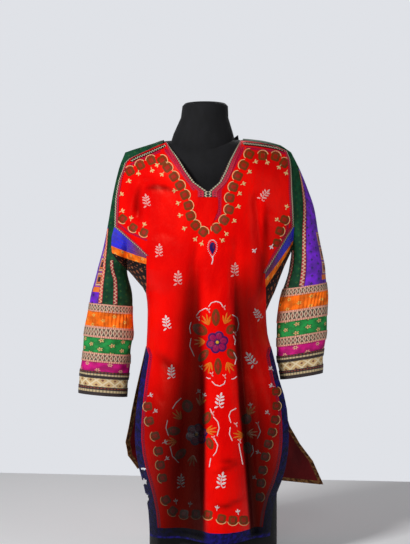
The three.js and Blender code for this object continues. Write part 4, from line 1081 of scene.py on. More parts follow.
def narrow_braid(name, ground, line):
    f = Finish(name, rough=0.5, sheen=0.2)
    _, s, _ = f.place("share")
    _, _, v = f.place()
    swing = f.do("MULTIPLY_ADD", f.triangle(v, 9.0), 0.6, 0.2)
    thread = f.step(f.do("ABSOLUTE", f.do("SUBTRACT", s, swing)), 0.24, 0.14)
    rim = f.step(f.do("ABSOLUTE", f.do("SUBTRACT", s, 0.5)), 0.4, 0.46)
    colour = f.shade(thread, f.wear(ground, 0.3), line)
    colour = f.shade(rim, colour, screen(50, 20, 20))
    return f.end(colour, f.do("MULTIPLY_ADD", thread, 2.0, weave(f)), 0.4, 0.0005)


def worn(name, dark, light, rough=0.6):
    f = Finish(name, rough=rough, sheen=0.03, specular=0.15)
    share = f.step(f.noise(0.09, 4.0), 0.42, 0.62)
    colour = f.shade(share, dark, light)
    _, s, _ = f.place("share")
    rim = f.step(f.do("ABSOLUTE", f.do("SUBTRACT", s, 0.5)), 0.4, 0.5)
    colour = f.shade(f.do("MULTIPLY", rim, 0.6), colour, light)
    return f.end(colour, f.do("MULTIPLY_ADD", f.noise(0.2), 2.0, weave(f)), 0.5, 0.0008)


def wrong_side():
    """The dull side of the satin."""
    f = Finish("wrong_side", rough=0.7, specular=0.2)
    slow = f.noise(0.012, 3.0, (1, 0.5, 1))
    colour = f.shade(f.step(slow, 0.3, 0.7), screen(84, 14, 18), screen(118, 22, 24))
    return f.end(colour, f.noise(0.045, 3.0, (1, 0.45, 1)), 0.5, 0.003)


def jersey():
    f = Finish("form_jersey", rough=0.8, sheen=0.1, specular=0.3)
    colour = f.wear(screen(20, 20, 23), 0.3, 0.02)
    return f.end(colour, weave(f, 1.6), 0.3, 0.0003, painted_shade=False)


def thread(name, colour, rough=0.4):
    """Satin stitches side by side."""
    f = Finish("thread_" + name, rough=rough, specular=0.2)
    _, u, _ = f.place()
    lines = f.do("MULTIPLY_ADD", f.wave(u, 1.1), 0.5, 0.5)
    dark = tuple(c * 0.6 for c in colour[:3]) + (1,)
    shown = f.shade(f.do("MULTIPLY", lines, 0.6), colour, dark)
    return f.end(shown, lines, 0.5, 0.0004)


SQUARES = {"left": 32.0, "right": 50.0}
SQUARE_LOW = {"left": 673.0, "right": 700.0}
FINISHES = {
    "satin": satin(),
    "wrong_side": wrong_side(),
    "green": figured("green_silk", screen(10, 66, 42), screen(50, 96, 44), screen(30, 60, 40),
                     15.0, 16.0, 0.2, 4, 0.6),
    "green_cuff": figured("green_figured", screen(36, 138, 66), screen(216, 186, 120), screen(150, 60, 60),
                          20.0, 22.0, 0.27, 5, 0.55, screen(20, 96, 50)),
    "purple_left": purple(LEFT),
    "purple_right": purple(RIGHT),
    "blue": blue_stripes(),
    "orange": figured("orange_silk", screen(248, 112, 14), screen(226, 186, 90), screen(190, 60, 30),
                      21.0, 24.0, 0.22, 5, 0.5),
    "magenta": figured("magenta_silk", screen(196, 22, 118), screen(232, 176, 140), screen(120, 20, 80),
                       21.0, 30.0, 0.24, 6, 0.5),
    "black": figured("black_floral", screen(22, 14, 16), screen(150, 50, 40), screen(210, 170, 110),
                     13.0, 14.0, 0.2, 5, 0.7),
    "floral": figured("black_sprigged", screen(34, 22, 24), screen(176, 110, 70), screen(140, 30, 40),
                      17.0, 16.0, 0.28, 6, 0.7),
    "gold": brocade(),
    "edge": edging(),
    "lace": lace(),
    "zigzag": zigzag("zigzag_braid", 0.0, 0.55),
    "neck": zigzag("neck_zigzag", 1.0, -0.42),
    "collar": zigzag("collar_zigzag", 0.0, 1.0),
    "maroon": narrow_braid("maroon_braid", screen(166, 16, 40), screen(214, 170, 140)),
    "pink": narrow_braid("pink_braid", screen(206, 70, 66), screen(240, 170, 130)),
    "navy": worn("navy_binding", screen(12, 8, 66), screen(30, 22, 116)),
    "tan": worn("tan_binding", screen(84, 50, 28), screen(160, 112, 66)),
    "form": jersey(),
}


# The robe, one sheet for each piece of cloth
FRONT, BACK = body_put(False), body_put(True)


def dress_panels():
    cloth("front_panel", [finer(front_half(side), 4, 5) for side in (LEFT, RIGHT)],
          FINISHES["satin"], FRONT, body_flat)
    cloth("back_panel", [finer(back_half(side), 5, 6) for side in (LEFT, RIGHT)],
          FINISHES["satin"], BACK, body_flat)
    lined = PIECES["back_panel"]
    lined.data.materials.append(FINISHES["wrong_side"])
    lined.modifiers["thickness"].material_offset = 1
    cloth("neck_insert", [finer(insert_net(), 6, 8)], FINISHES["satin"], FRONT, body_flat,
          TRIM_LIFT)
    cloth("neck_braid", [finer(neck_braid_net(side), 4, 4) for side in (LEFT, RIGHT)],
          FINISHES["neck"], FRONT, offset=TRIM_LIFT, wide=max)


def torn(centres):
    """Faces of the left binding inside a rip."""
    gone = np.zeros(len(centres), bool)
    for x, z, wide, high in RIPS:
        across, up = (centres[:, 0] - x) / wide, (centres[:, 2] - z) / high
        edge = 1 + 0.25 * np.sin(5 * np.arctan2(up, across) + z)
        gone |= np.hypot(across, up) * 2 < edge
    return gone


def bindings():
    for side in (LEFT, RIGHT):
        name = side.name
        times = 12 if side is LEFT else 5
        cloth("slit_binding_" + name, [finer(slit_net(side), times, 16 if side is LEFT else 6)],
              FINISHES["navy"], FRONT,
              torn=torn if side is LEFT else None)
        cloth("back_binding_" + name, [finer(back_side_net(side), 4, 4)],
              FINISHES["tan"], BACK)
    cloth("hem_binding", [finer(hem_net(side), 8, 6) for side in (LEFT, RIGHT)],
          FINISHES["navy"], FRONT)
    cloth("back_hem_binding", [finer(back_hem_net(side), 4, 6) for side in (LEFT, RIGHT)],
          FINISHES["tan"], BACK)


def band_put(net):
    """Points round the back of the neck, by their share of the way round and up."""
    right, left = RIGHT.back_neck[1:][::-1], LEFT.back_neck
    feet = np.array(right + left, float)
    at = net[..., 0] * (len(feet) - 1)
    low = np.minimum(at.astype(int), len(feet) - 2)
    share = (at - low)[..., None]
    places = mix(feet[low], feet[low + 1], share)
    p, _ = on_body(places[..., 0], places[..., 1], True)
    out = np.stack([p[..., 0] - NECK_BAND.middle, p[..., 1], 0 * at], -1)
    out = unit(out)
    high = mix(NECK_BAND.high_right, NECK_BAND.high_left, net[..., 0])
    up = np.stack([0 * at, 0 * at, high], -1)
    return p + (up - out * NECK_BAND.lean) * net[..., 1:], out


def unit_net(rows, columns):
    v, u = np.meshgrid(np.linspace(0, 1, rows), np.linspace(0, 1, columns), indexing="ij")
    return np.stack([u, v], -1)


def upper_pieces(side):
    name = side.name
    cloth("edge_braid_" + name, [finer(edge_braid_net(side), 4, 4)], FINISHES["zigzag"],
          FRONT, offset=TRIM_LIFT)
    band = band_nets(side)
    nets = [finer(band, 4, 2), finer(band, 4, 2)]
    turns = iter([False, True])

    def either(net):
        return on_body(net[..., 0], net[..., 1], next(turns))

    cloth("shoulder_band_" + name, nets, FINISHES["green"], either, body_flat, weld=0.3)
    for number, (label, slot) in enumerate([("blue", "blue_silk"), ("orange", "orange_silk"),
                                            ("black", "black_floral"), ("floral", "black_floral")]):
        cloth(f"gore_{label}_{name}", [finer(gore_net(side, number), 5, 6)], FINISHES[label], FRONT)


def sleeve_pieces(side):
    name, put, flat = side.name, sleeve_put(side), sleeve_flat(side)
    pieces = [("sleeve_purple_", purple_net(side), "purple_" + name, "purple_silk"),
              ("sleeve_green_front_", green_net(side, False), "green", "green_silk"),
              ("sleeve_green_back_", green_net(side, True), "green", "green_silk"),
              ("sleeve_under_", under_net(side), "green", "green_silk")]
    for label, net, finish, slot in pieces:
        cloth(label + name, [finer(net, 8, 5)], FINISHES[finish], put, flat)
    for place, back in (("front", False), ("back", True)):
        for where, outer in (("outer", True), ("inner", False)):
            cloth(f"braid_{where}_{place}_{name}", [finer(braid_net(side, back, outer), 6, 3)],
                  FINISHES["pink" if outer and side is LEFT else "maroon"], put,
                  offset=TRIM_LIFT)


def gathers(side, low, high):
    def lift(net):
        turn, level = np.radians(net[..., 0]), net[..., 1] - side.cuff
        ends = smooth((level - low) / GATHERS.ends) * smooth((high - level) / GATHERS.ends)
        waves = np.sin(GATHERS.count * turn + 1.2 * np.sin(3 * turn + level / 12))
        return ends * (GATHERS.high * waves + GATHERS.lift)
    return lift


def cuffs(side):
    name, flat = side.name, sleeve_flat(side)
    put = sleeve_put(side)
    for label, finish, slot in (("gold", "gold", "gold_brocade"), ("magenta", "magenta", "magenta_silk"),
                                ("green", "green_cuff", "green_silk"), ("orange", "orange", "orange_silk")):
        low, high = BANDS[label]
        ruched = sleeve_put(side, gathers(side, low, high)) if label == "orange" else put
        columns = 300 if label == "orange" else 150
        cloth(f"cuff_{label}_{name}", [ring_net(side, low, high, columns)], FINISHES[finish], ruched,
              flat)
    for label, finish, slot in (("edge", "edge", "dark_edge"), ("stripe", "edge", "dark_edge"),
                                ("lace_low", "lace", "lace"), ("lace_middle", "lace", "lace"),
                                ("lace_top", "lace", "lace")):
        low, high = BANDS[label]
        cloth(f"cuff_{label}_{name}", [ring_net(side, low, high)], FINISHES[finish], put, flat,
              TRIM_LIFT)


# The dress form
NECK = [
    (1130, -63, 39, 50), (1124, -69, 45, 56), (1095, -73, 46, 58), (1055, -91, 58, 62),
    (1030, -99, 64, 66), (990, -101, 66, 66),
]
FORM_SIDES = 96
FORM_STEP = 12
NECK_STEP = 6
FORM_RADIUS = 150


def ring_stack(table, steps, fit):
    """Vertices and faces of closed rings, down from the top of a table."""
    levels = []
    for (upper, *_), (lower, *_) in zip(table, table[1:]):
        levels += list(np.linspace(upper, lower, max(1, round((upper - lower) / steps)) + 1)[:-1])
    levels = np.array(levels + [table[-1][0]])
    left, right, deep = (np.interp(levels, *zip(*sorted((row[0], row[k]) for row in table)))
                         for k in (1, 2, 3))
    turn = np.linspace(0, 2 * math.pi, FORM_SIDES, endpoint=False)[None]
    x = ((left + right) / 2)[:, None] + ((right - left) / 2)[:, None] * np.cos(turn)
    y = deep[:, None] * np.sin(turn)
    z = np.broadcast_to(levels[:, None], x.shape)
    if fit:
        y = fit(x, y, z)
    points = np.stack([x, y, z], -1).reshape(-1, 3)
    faces = []
    for i in range(len(levels) - 1):
        for k in range(FORM_SIDES):
            after = (k + 1) % FORM_SIDES
            faces.append((i * FORM_SIDES + k, i * FORM_SIDES + after,
                          (i + 1) * FORM_SIDES + after, (i + 1) * FORM_SIDES + k))
    faces.append(tuple(range(FORM_SIDES)))
    faces.append(tuple(range(len(points) - 1, len(points) - 1 - FORM_SIDES, -1)))
    return points, faces


def inside_robe(x, y, z):
    lifted = z + FORM_LIFT
    room = np.where(y > 0, body_depth(x, lifted, True), body_depth(x, lifted, False))
    room = np.maximum(1, room * FORM_FALL - 1)
    pressed = y * room / (y ** 4 + room ** 4) ** 0.25
    return np.where(z > FORM_FITTED, pressed, y)


def dress_form():
    shoulders = ring_stack(FORM, FORM_STEP, inside_robe)
    neck = ring_stack(NECK, NECK_STEP, None)
    for name, (points, faces) in (("dress_form_body", shoulders), ("dress_form_neck", neck)):
        flat = np.stack([np.arctan2(points[:, 1], points[:, 0]) * FORM_RADIUS, points[:, 2]], -1)
        mesh = as_mesh(name, points, faces, {"flat": flat})
        with edited(mesh) as work:
            bmesh.ops.recalc_face_normals(work, faces=work.faces)
            for face in work.faces:
                face.smooth = len(face.verts) == 4
        placed(name, mesh, FINISHES["form"], "dress_form")


dress_form()
dress_panels()
bindings()
cloth("back_neck_band", [unit_net(7, 49)], FINISHES["collar"], band_put)
for each in (LEFT, RIGHT):
    upper_pieces(each)
    sleeve_pieces(each)
    cuffs(each)


# Embroidery: shapes in pixels of the photograph, laid on the cloth and raised from it
class Stitches:
    """The shapes of one colour of thread, made into one mesh."""

    def __init__(self, name, colour, back=False, rough=0.4):
        self.name, self.back = name, back
        self.material = thread(name, colour, rough)
        self.places, self.lifts, self.flats, self.faces = [], [], [], []

    def add(self, rings, lifts, flats, closed):
        """Rings of the same number of places; a closed ring's last place meets its first."""
        start = sum(len(part) for part in self.places)
        count = len(rings[0])
        for ring, lift, flat in zip(rings, lifts, flats):
            self.places.append(np.asarray(ring, float))
            self.lifts.append(np.full(count, lift) if np.isscalar(lift) else np.asarray(lift))
            self.flats.append(np.asarray(flat, float))
        for i in range(len(rings) - 1):
            for k in range(count if closed else count - 1):
                after = (k + 1) % count
                a, b = start + i * count, start + (i + 1) * count
                self.faces.append((a + k, a + after, b + after, b + k))
        if closed:
            last = start + (len(rings) - 1) * count
            self.faces.append(tuple(range(last, last + count)))

    def fill(self, px, py, outline, high=0.9, turn=0.0):
        """A filled shape: its outline is pixels about its middle, turned by degrees."""
        c, s = math.cos(math.radians(turn)), math.sin(math.radians(turn))
        shape = np.asarray(outline, float) @ np.array([[c, s], [-s, c]])
        middle = np.array([px, py])
        rings = [middle + shape * k for k in (1.0, 0.86, 0.5, 0.12)]
        flats = [np.asarray(outline, float) * k * MM_PER_PIXEL for k in (1.0, 0.86, 0.5, 0.12)]
        self.add(rings, [0.05, high * 0.65, high, high], flats, True)

    def oval(self, px, py, wide, high, turn=0.0, lift=0.9, count=14, pointed=0.0):
        t = np.linspace(0, 2 * math.pi, count, endpoint=False)
        x = np.cos(t) * wide * (1 - pointed * np.abs(np.sin(t)) ** 2)
        self.fill(px, py, np.stack([x, np.sin(t) * high], -1), lift, turn)

    def line(self, points, wide, lift=0.8, fine=0.7):
        """A raised line of stitches through pixels, wide in pixels."""
        points = np.asarray(points, float)
        at = distances(points)
        count = max(2, int(at[-1] / fine) + 1)
        places = np.linspace(0, at[-1], count)
        line = places_at(places, at, points)
        along = np.gradient(line, axis=0)
        across = unit(np.stack([-along[:, 1], along[:, 0]], -1))
        taper = np.clip(np.minimum(places, at[-1] - places) / wide + 0.35, 0.35, 1)[:, None]
        offs = (-0.5, -0.3, 0, 0.3, 0.5)
        rings = [line + across * off * wide * taper for off in offs]
        flats = [np.stack([places, np.full(count, off * wide)], -1) * MM_PER_PIXEL for off in offs]
        self.add(rings, [0.05, lift * 0.7, lift, lift * 0.7, 0.05], flats, False)

    def finish(self):
        places = np.concatenate(self.places)
        lifts, flats = np.concatenate(self.lifts), np.concatenate(self.flats)
        x, z = rough_place(places[:, 0], places[:, 1])
        facing = 1 if self.back else -1
        if self.back:
            x = 2 * EYE_X - x
        else:
            for _ in range(4):
                x, z = rough_place(places[:, 0], places[:, 1], body_depth(x, z, False) * facing)
        p, n = on_body(x, z, self.back)
        p = p + n * (lifts + 0.15)[:, None]
        # The thread takes the same painted fold shade as the silk under it
        shade = fold_shade(x, z, self.back)
        mesh = as_mesh("stitches_" + self.name, p, self.faces, {
            "flat": flats, "shade": np.stack([shade, shade], -1)})
        with edited(mesh) as work:
            for face in work.faces:
                face.normal_update()
            for face in list(work.faces):
                if face.normal.y * facing < 0:
                    face.normal_flip()
        placed("stitches_" + self.name, mesh, self.material)


def turned(dx, dy, degrees):
    c, s = math.cos(math.radians(degrees)), math.sin(math.radians(degrees))
    return dx * c - dy * s, dx * s + dy * c


def leaf(threads, px, py, dx, dy, degrees, wide, long, angle, lift=0.8):
    """A small leaf whose foot stands at an offset, turned with its sprig."""
    ox, oy = turned(dx, dy, degrees)
    tip = degrees + angle
    mx, my = turned(0, -long / 2, tip)
    threads.oval(px + ox + mx, py + oy + my, wide / 2, long / 2, tip, lift, 10, 0.35)


def small_sprig(threads, px, py, degrees, size=1.0):
    for angle, long in ((-48, 2.9), (0, 3.4), (48, 2.9)):
        leaf(threads, px, py, 0, 0, degrees, 1.25 * size, long * size, angle)
    foot = turned(0, 2.2 * size, degrees)
    threads.line([(px, py), (px + foot[0], py + foot[1])], 0.8 * size)


def big_sprig(threads, px, py, degrees=0.0, size=1.0):
    """A stem with pairs of leaves, and a curl at its foot."""
    stem = [turned(x * size, y * size, degrees) for x, y in
            ((0.3, -5.4), (0.1, -2.5), (-0.2, 0.5), (0.4, 3.2), (1.8, 4.9), (3.4, 4.6), (3.8, 3.3))]
    threads.line([(px + x, py + y) for x, y in stem], 0.8 * size)
    for y, long in ((-3.4, 3.6), (-0.6, 4.2), (2.6, 4.4)):
        for angle in (-58, 58):
            leaf(threads, px, py, 0.4 * math.copysign(1, angle) * size, y * size, degrees,
                 1.9 * size, long * size, angle)
    leaf(threads, px, py, 0.3 * size, -4.4 * size, degrees, 2.0 * size, 4.0 * size, 4)
    leaf(threads, px, py, -0.6 * size, 4.2 * size, degrees, 1.7 * size, 4.0 * size, -120)


def arc(threads, px, py, rx, ry, start, end, wide, lift=0.8):
    t = np.radians(np.linspace(start, end, 16))
    threads.line(np.stack([px + rx * np.cos(t), py + ry * np.sin(t)], -1), wide, lift)


def round_figure(sets, px, py, facing, size=4.6, long=1.0):
    """An olive round with a red heart and an outline on the side it faces, in degrees."""
    t = np.linspace(0, 2 * math.pi, 20, endpoint=False)
    square = 1 + 0.1 * np.cos(4 * t + math.pi)
    outline = np.stack([np.cos(t) * square, np.sin(t) * square * long], -1) * size
    sets["olive"].fill(px, py, outline, 0.5, facing)
    sets["rust"].fill(px, py, outline * 0.62, 0.9, facing)
    for step in (-0.42, 0.0, 0.42):
        ox, oy = turned(0, step * size, facing)
        ax, ay = turned(size * 0.62, 0, facing)
        sets["moss"].line([(px + ox - ax, py + oy - ay), (px + ox + ax, py + oy + ay)], 0.6, 1.05)
    arc(sets["cream"], px, py, size * 1.14, size * 1.14, facing - 72, facing + 72, 0.75)


def fan(threads, px, py, degrees, size=1.0):
    """Four tongues that open upwards, as of a bud."""
    for angle, long in ((-34, 9.0), (-11, 12.0), (12, 12.0), (34, 9.0)):
        leaf(threads, px, py, 0, 6 * size, degrees, 1.9 * size, long * size, angle, 0.7)


def petal_flower(sets, px, py, radius, petals=6):
    for k in range(petals):
        angle = 360 / petals * k + 15
        ox, oy = turned(0, -radius * 0.56, angle)
        sets["purple"].oval(px + ox, py + oy, radius * 0.44, radius * 0.46, angle, 0.55, 16)
        sets["pink"].oval(px + ox, py + oy, radius * 0.3, radius * 0.33, angle, 1.0, 12)
        sets["plum"].line([(px + ox * 0.5, py + oy * 0.5), (px + ox * 1.3, py + oy * 1.3)], 0.8, 1.25)
    sets["purple"].oval(px, py, radius * 0.26, radius * 0.26, 0, 1.1, 12)
    sets["yellow"].oval(px, py, radius * 0.17, radius * 0.17, 0, 1.6, 10)


# Where the embroidery lies, in pixels of the photograph. Fans have the place and turn of the petals
# there, and ovals also their size
NECK_ROUNDS = [
    (1, 4.9, [(249.4, 154.2), (243.9, 165.2), (237.9, 176), (233.6, 187), (230, 197.9), (229.4, 209.6),
              (224.4, 220.3), (216.5, 228.6)]),
    (-1, 4.9, [(262.7, 155.8), (275.5, 156.6), (284.2, 163)]),
    (-1, 4.6, [(284.5, 219.7), (279.7, 231), (277, 243)]),
    (-1, 4.9, [(162.1, 160.3), (167.4, 167.6), (173.8, 176.6), (179.9, 185.5), (184.8, 195), (188.2, 205.5),
               (190.4, 216), (195.4, 225.4), (203.3, 232)]),
    (-1, 4.8, [(130, 171.2), (140.3, 165.2), (151.2, 160.3)]),
    (1, 4.4, [(122.7, 218.7), (133.2, 227.6), (144, 232.4)]),
]
SKIRT_ROUNDS = [
    (1, 4.6, [(148, 406.4), (149.6, 421), (155.4, 436), (158.8, 451), (160.6, 465), (162.7, 478)]),
    (-1, 4.4, [(276, 391.6), (276.4, 406), (275, 419.7), (271.8, 432), (268, 444), (265, 456.6),
               (262.4, 470), (260.6, 483), (259.6, 497)]),
    (1, 4.8, [(166, 500), (173, 511), (184, 514), (196, 514), (208, 514.6), (221.6, 518.6), (232.9, 520.2),
              (243.7, 520)]),
]
LITTLE_SPRIGS = [
    (60, [(254.8, 162), (248.8, 172.4), (242.7, 184), (239, 194.2), (237.6, 207), (233.6, 221.5)]),
    (130, [(225.8, 233), (221.5, 239.7)]), (150, [(267, 161.5)]), (-150, [(279.7, 166.4), (286.6, 172)]),
    (10, [(286.4, 207.6)]), (-60, [(277.9, 220.3)]), (-140, [(255, 250), (272, 246)]),
    (170, [(138.5, 172.4), (151.8, 169.4)]), (-130, [(157.9, 164.5), (162.7, 173.6)]),
    (60, [(128.2, 181.5), (120.9, 194.8), (121.5, 211.2)]),
    (-105, [(175.5, 190.6), (179, 202.6), (180.9, 215.2), (185.2, 228)]),
    (-150, [(196, 238.4), (202, 242.7)]), (20, [(143.9, 225.2), (131, 219)]),
    (60, [(149.8, 395.4), (154.8, 411.6), (164.4, 442.4), (166.4, 459)]),
    (-60, [(271.5, 369), (272.2, 386), (268, 413), (258.8, 452.5), (255, 478)]),
    (0, [(217, 508.6), (238, 512.6), (190, 505), (176, 502)]), (40, [(198, 392), (203.6, 396)]),
    (-20, [(250.6, 406)]),
]
LARGE_SPRIGS = [
    (146.4, 201.5, -10, 0.95), (264, 195.5, 40, 1.0), (159, 251.2, 0, 0.95), (177.9, 279, 0, 1.05),
    (234.8, 270.6, 0, 1.0), (166.6, 323.6, -10, 1.05), (258, 315, -30, 0.9), (171.3, 372.8, 0, 1.0),
    (251, 360.3, -35, 1.15), (219.7, 401.7, 8, 1.15), (221.3, 481.4, 8, 1.2), (181, 482, 0, 1.0),
]
FLOWERS = [(217.3, 342.3, 11.2, 6), (196.7, 434.5, 11, 6)]
OVALS = [
    (215.8, 317.4, 4.2, 8.6, 0), (218, 366.4, 3.8, 8.4, 0), (200, 329.6, 8.2, 5.6, 28),
    (203.4, 355.6, 7.4, 4, -52), (230.8, 329.4, 4.4, 5.6, 40), (231.4, 354, 4.2, 6, -34),
    (187.4, 406, 5.6, 6.6, -20), (173.6, 431, 7, 4.6, 0), (180.5, 454, 7, 4.2, -42),
    (206.6, 418, 4.2, 6.8, 26), (209.8, 443.4, 3.6, 6.2, -20), (246.4, 419, 5.2, 5.6, 20),
    (247.6, 448, 4.6, 6, 0),
]
FANS = [
    (206.4, 319.7, -24), (226.9, 318.4, 24), (208.4, 367.6, 204), (229.6, 367.4, 152), (199.4, 342, -92),
    (201, 400, 10), (177.6, 415, -42), (211.6, 430.4, 82), (192.4, 461, 186), (171, 442, -96),
    (238.4, 435.4, -92), (252.4, 433.6, 90), (250.5, 410, 30),
]

# Points that follow the photograph's own white scroll lines round the flowers
WHITE_LINES = [
    [(196.2, 316), (199.4, 311.4), (205.2, 308.4), (208, 308.6)], [(208.4, 307), (211.4, 302.8),
     (216.4, 301.4), (220.6, 302.8), (222.8, 306.4)],
    [(231.9, 314.4), (237.2, 317.6), (238.8, 324), (237.2, 331.2)], [(233.2, 335.4), (235.4, 340),
     (234.6, 345)], [(233.4, 352), (236.4, 358), (234.8, 364.6)],
    [(206.2, 377.2), (208.4, 378.6), (210.8, 378.4)], [(211.8, 381.2), (215.1, 384.8), (219.8, 386.2),
     (224.2, 383.8), (225.4, 380.4)], [(231.2, 379.2), (234, 378.8), (236.8, 376.4)],
    [(191.2, 322), (189.6, 328), (190.8, 334)], [(191.2, 338), (189.8, 346), (194.4, 356.4)],
    [(213.1, 416.6), (217.8, 421.6), (219.2, 428), (217, 436.3)], [(214.3, 438.3), (217.8, 445.4),
     (216.2, 451.8), (213.1, 456)], [(210.8, 458), (209.2, 467.4)], [(210, 408.4), (212.6, 414.4)],
    [(236.4, 408.2), (230.8, 411.2), (228.9, 416), (230.9, 423)], [(230.4, 427), (229.4, 434),
     (232.4, 441)], [(238.8, 443.2), (240.2, 451), (242.8, 464.6)], [(258.4, 426), (260.6, 431.6),
     (257.4, 438.6)], [(252.5, 445), (253.6, 452), (250.4, 457)], [(181.4, 398), (176, 403),
     (172.4, 409)], [(167.6, 420), (166, 428), (168.6, 436)], [(170, 446), (172.4, 456), (179, 463)],
]
CROSSES = [(208.6, 310.6), (224, 307.6), (198.4, 318.6), (211.8, 374.2), (224.6, 376.4), (201, 367.4),
           (235, 333.4), (213.4, 438), (212.6, 413.6), (236, 424.6), (257.6, 424), (239.6, 441)]

# Border lines by the neck, along courses read from the photograph
GUARDS = [
    (4.0, [(164.8, 148.6), (173.4, 160.2), (184.6, 175.2), (191.6, 184.6), (194, 190.4)]),
    (3.6, [(243.6, 146.6), (238.2, 157.6), (231.4, 170.6), (225.6, 181.4), (219.8, 189.4), (219.4, 213.6),
           (214.2, 220)]),
    (2.6, [(246, 147.6), (262, 149.8), (277.4, 151.4), (286, 153.4), (287.6, 160.6)]),
    (2.4, [(160.6, 151), (148.4, 156.4), (137, 161.4), (129, 165.8), (124.8, 172)]),
    (2.6, [(288.2, 219), (287.4, 230), (279, 245.6), (268.6, 264)]),
    (2.4, [(118.6, 224), (128, 231.6), (141, 237.4), (147.4, 240.4)]),
]

# The drop by the neck, whose tail follows the photograph's own line
PAISLEY = SimpleNamespace(px=212.4, py=247.2, rays=1.28, ray=1.7,
                          tail=[(212.4, 256), (213, 260), (211.6, 264.4)])
GUARD_DOTS = 2.2


def pixel_of(x, z):
    """The pixel that shows a place on the front."""
    near = (EYE_DISTANCE - float(body_depth(x, z, False))) / EYE_DISTANCE
    px = (EYE_X + (x - EYE_X) / near) / MM_PER_PIXEL + PIXEL_MIDDLE[0]
    return px, PIXEL_MIDDLE[1] - (EYE_HEIGHT + (z - EYE_HEIGHT) / near) / MM_PER_PIXEL


def drawn_braid(sets, points):
    """A narrow braid with a zigzag, sewn over the shoulder's edge."""
    sets["dark"].line(points, 3.4, 0.5, 1.2)
    points = np.array(points, float)
    knots = distances(points)
    at = np.arange(0, knots[-1], 1.3)
    line = places_at(at, knots, points)
    along = unit(np.gradient(line, axis=0))
    swing = np.where(np.arange(len(at)) % 2, 0.8, -0.8)[:, None]
    sets["metal"].line(line + np.stack([-along[:, 1], along[:, 0]], -1) * swing, 0.8, 0.9, 0.5)


SHOULDER_BRAIDS = [
    [(165.6, 145.4), (150, 152.4), (138, 157.4), (130.4, 161.4)],
    [(242.6, 143.4), (256, 144.6), (268, 146.4), (279, 148.6), (286.6, 151.6)],
]


def stitch_rounds(sets, rows):
    """Rows of round figures, each turned along its row and facing to one side of it."""
    for facing, size, points in rows:
        ways = np.gradient(np.array(points, float), axis=0)
        for (px, py), (dx, dy) in zip(points, ways):
            round_figure(sets, px, py, math.degrees(math.atan2(dx * facing, -dy * facing)), size)


def embroider():
    sets = {name: Stitches(name, screen(*tone), rough=rough) for name, tone, rough in (
        ("guard", (204, 2, 56), 0.5), ("plum", (120, 4, 50), 0.5), ("olive", (132, 58, 10), 0.5),
        ("rust", (188, 26, 8), 0.5), ("moss", (84, 78, 22), 0.5), ("cream", (246, 200, 136), 0.4),
        ("white", (252, 226, 226), 0.35), ("blush", (250, 176, 170), 0.35), ("orange", (246, 118, 24), 0.4),
        ("purple", (84, 8, 92), 0.4), ("pink", (168, 10, 84), 0.4), ("yellow", (232, 180, 40), 0.4),
        ("navy", (34, 22, 96), 0.4), ("dark", (18, 12, 14), 0.6), ("metal", (206, 192, 164), 0.4))}
    for points in SHOULDER_BRAIDS:
        drawn_braid(sets, points)
    edges = [(2.6, [pixel_of(panel_edge(side, z)[0] - side.sign * 5, z) for z in SKIRT_LEVELS])
             for side in (LEFT, RIGHT)]
    for wide, points in GUARDS + edges:
        sets["guard"].line(points, wide, 0.25, 1.2)
        points = np.array(points, float)
        knots = distances(points)
        for k, (px, py) in enumerate(places_at(np.arange(1, knots[-1], GUARD_DOTS), knots, points)):
            sets["plum"].oval(px, py, 0.55, 0.55, 45 * k, 0.6, 6)
    stitch_rounds(sets, NECK_ROUNDS + SKIRT_ROUNDS)
    for degrees, points in LITTLE_SPRIGS:
        for k, (px, py) in enumerate(points):
            tone = "cream" if py < 245 else "white"
            small_sprig(sets[tone], px, py, degrees + 9 * (-1) ** k, 1.1)
    for px, py, degrees, size in LARGE_SPRIGS:
        big_sprig(sets["white" if py > 300 else "blush"], px, py, degrees, size)
    for px, py, wide, high, degrees in OVALS:
        sets["olive"].oval(px, py, wide, high, degrees, 0.6, 20, 0.12)
        sets["rust"].oval(px, py, wide * 0.6, high * 0.62, degrees, 1.0, 16, 0.2)
        for share in (-0.3, 0.3):
            foot, tip = turned(wide * share, high * 0.6, degrees), turned(wide * share, -high * 0.6, degrees)
            sets["moss"].line([(px + foot[0], py + foot[1]), (px + tip[0], py + tip[1])], 0.8, 1.15)
    for px, py, degrees in FANS:
        fan(sets["orange"], px, py, degrees, 1.0)
    for flower_ in FLOWERS:
        petal_flower(sets, *flower_)
    for points in WHITE_LINES:
        sets["white"].line(points, 0.95)
    for px, py in CROSSES:
        for turn in (-50, 30, 150):
            leaf(sets["blush"], px, py, 0, 0, turn, 1.3, 2.9, 0)
    px, py = PAISLEY.px, PAISLEY.py
    t = np.linspace(0, 2 * math.pi, 28, endpoint=False)
    drop = np.stack([3.5 * np.sin(t) * (1 - 0.42 * (1 - np.cos(t)) / 2), -6.2 * np.cos(t) + 1.2], -1)
    drop[:, 0] *= np.where(drop[:, 1] > 0, np.clip(1.35 - drop[:, 1] / 7.4, 0.1, 1), 1)
    sets["navy"].fill(px, py, drop, 0.9)
    sets["plum"].oval(px + 1.2, py - 0.6, 1.1, 2.6, 0, 1.3, 10)
    for ox, oy in drop * PAISLEY.rays:
        reach = 1 + PAISLEY.ray / math.hypot(ox, oy)
        sets["white"].line([(px + ox, py + oy), (px + ox * reach, py + oy * reach)], 0.75, 0.8)
    sets["white"].line(PAISLEY.tail, 1.1)
    for each in sets.values():
        each.finish()


# The back: a border round the neck and above the hem, with sprigs between them
BACK_ROUNDS = [
    (-1, 4.8, [(168 + 11.5 * k, 158 + 5 * math.sin(math.pi * k / 8)) for k in range(9)]),
    (1, 4.8, [(158 + 11.4 * k, 470 - 5 * math.cos(math.pi * k / 10)) for k in range(11)]),
]
BACK_SPRIGS = [(x + (18 if row % 2 else 0), 205 + 46 * row, 8 * (-1) ** row, 1.05)
               for row in range(5) for x in (176, 212, 248) if x + (18 if row % 2 else 0) < 255]


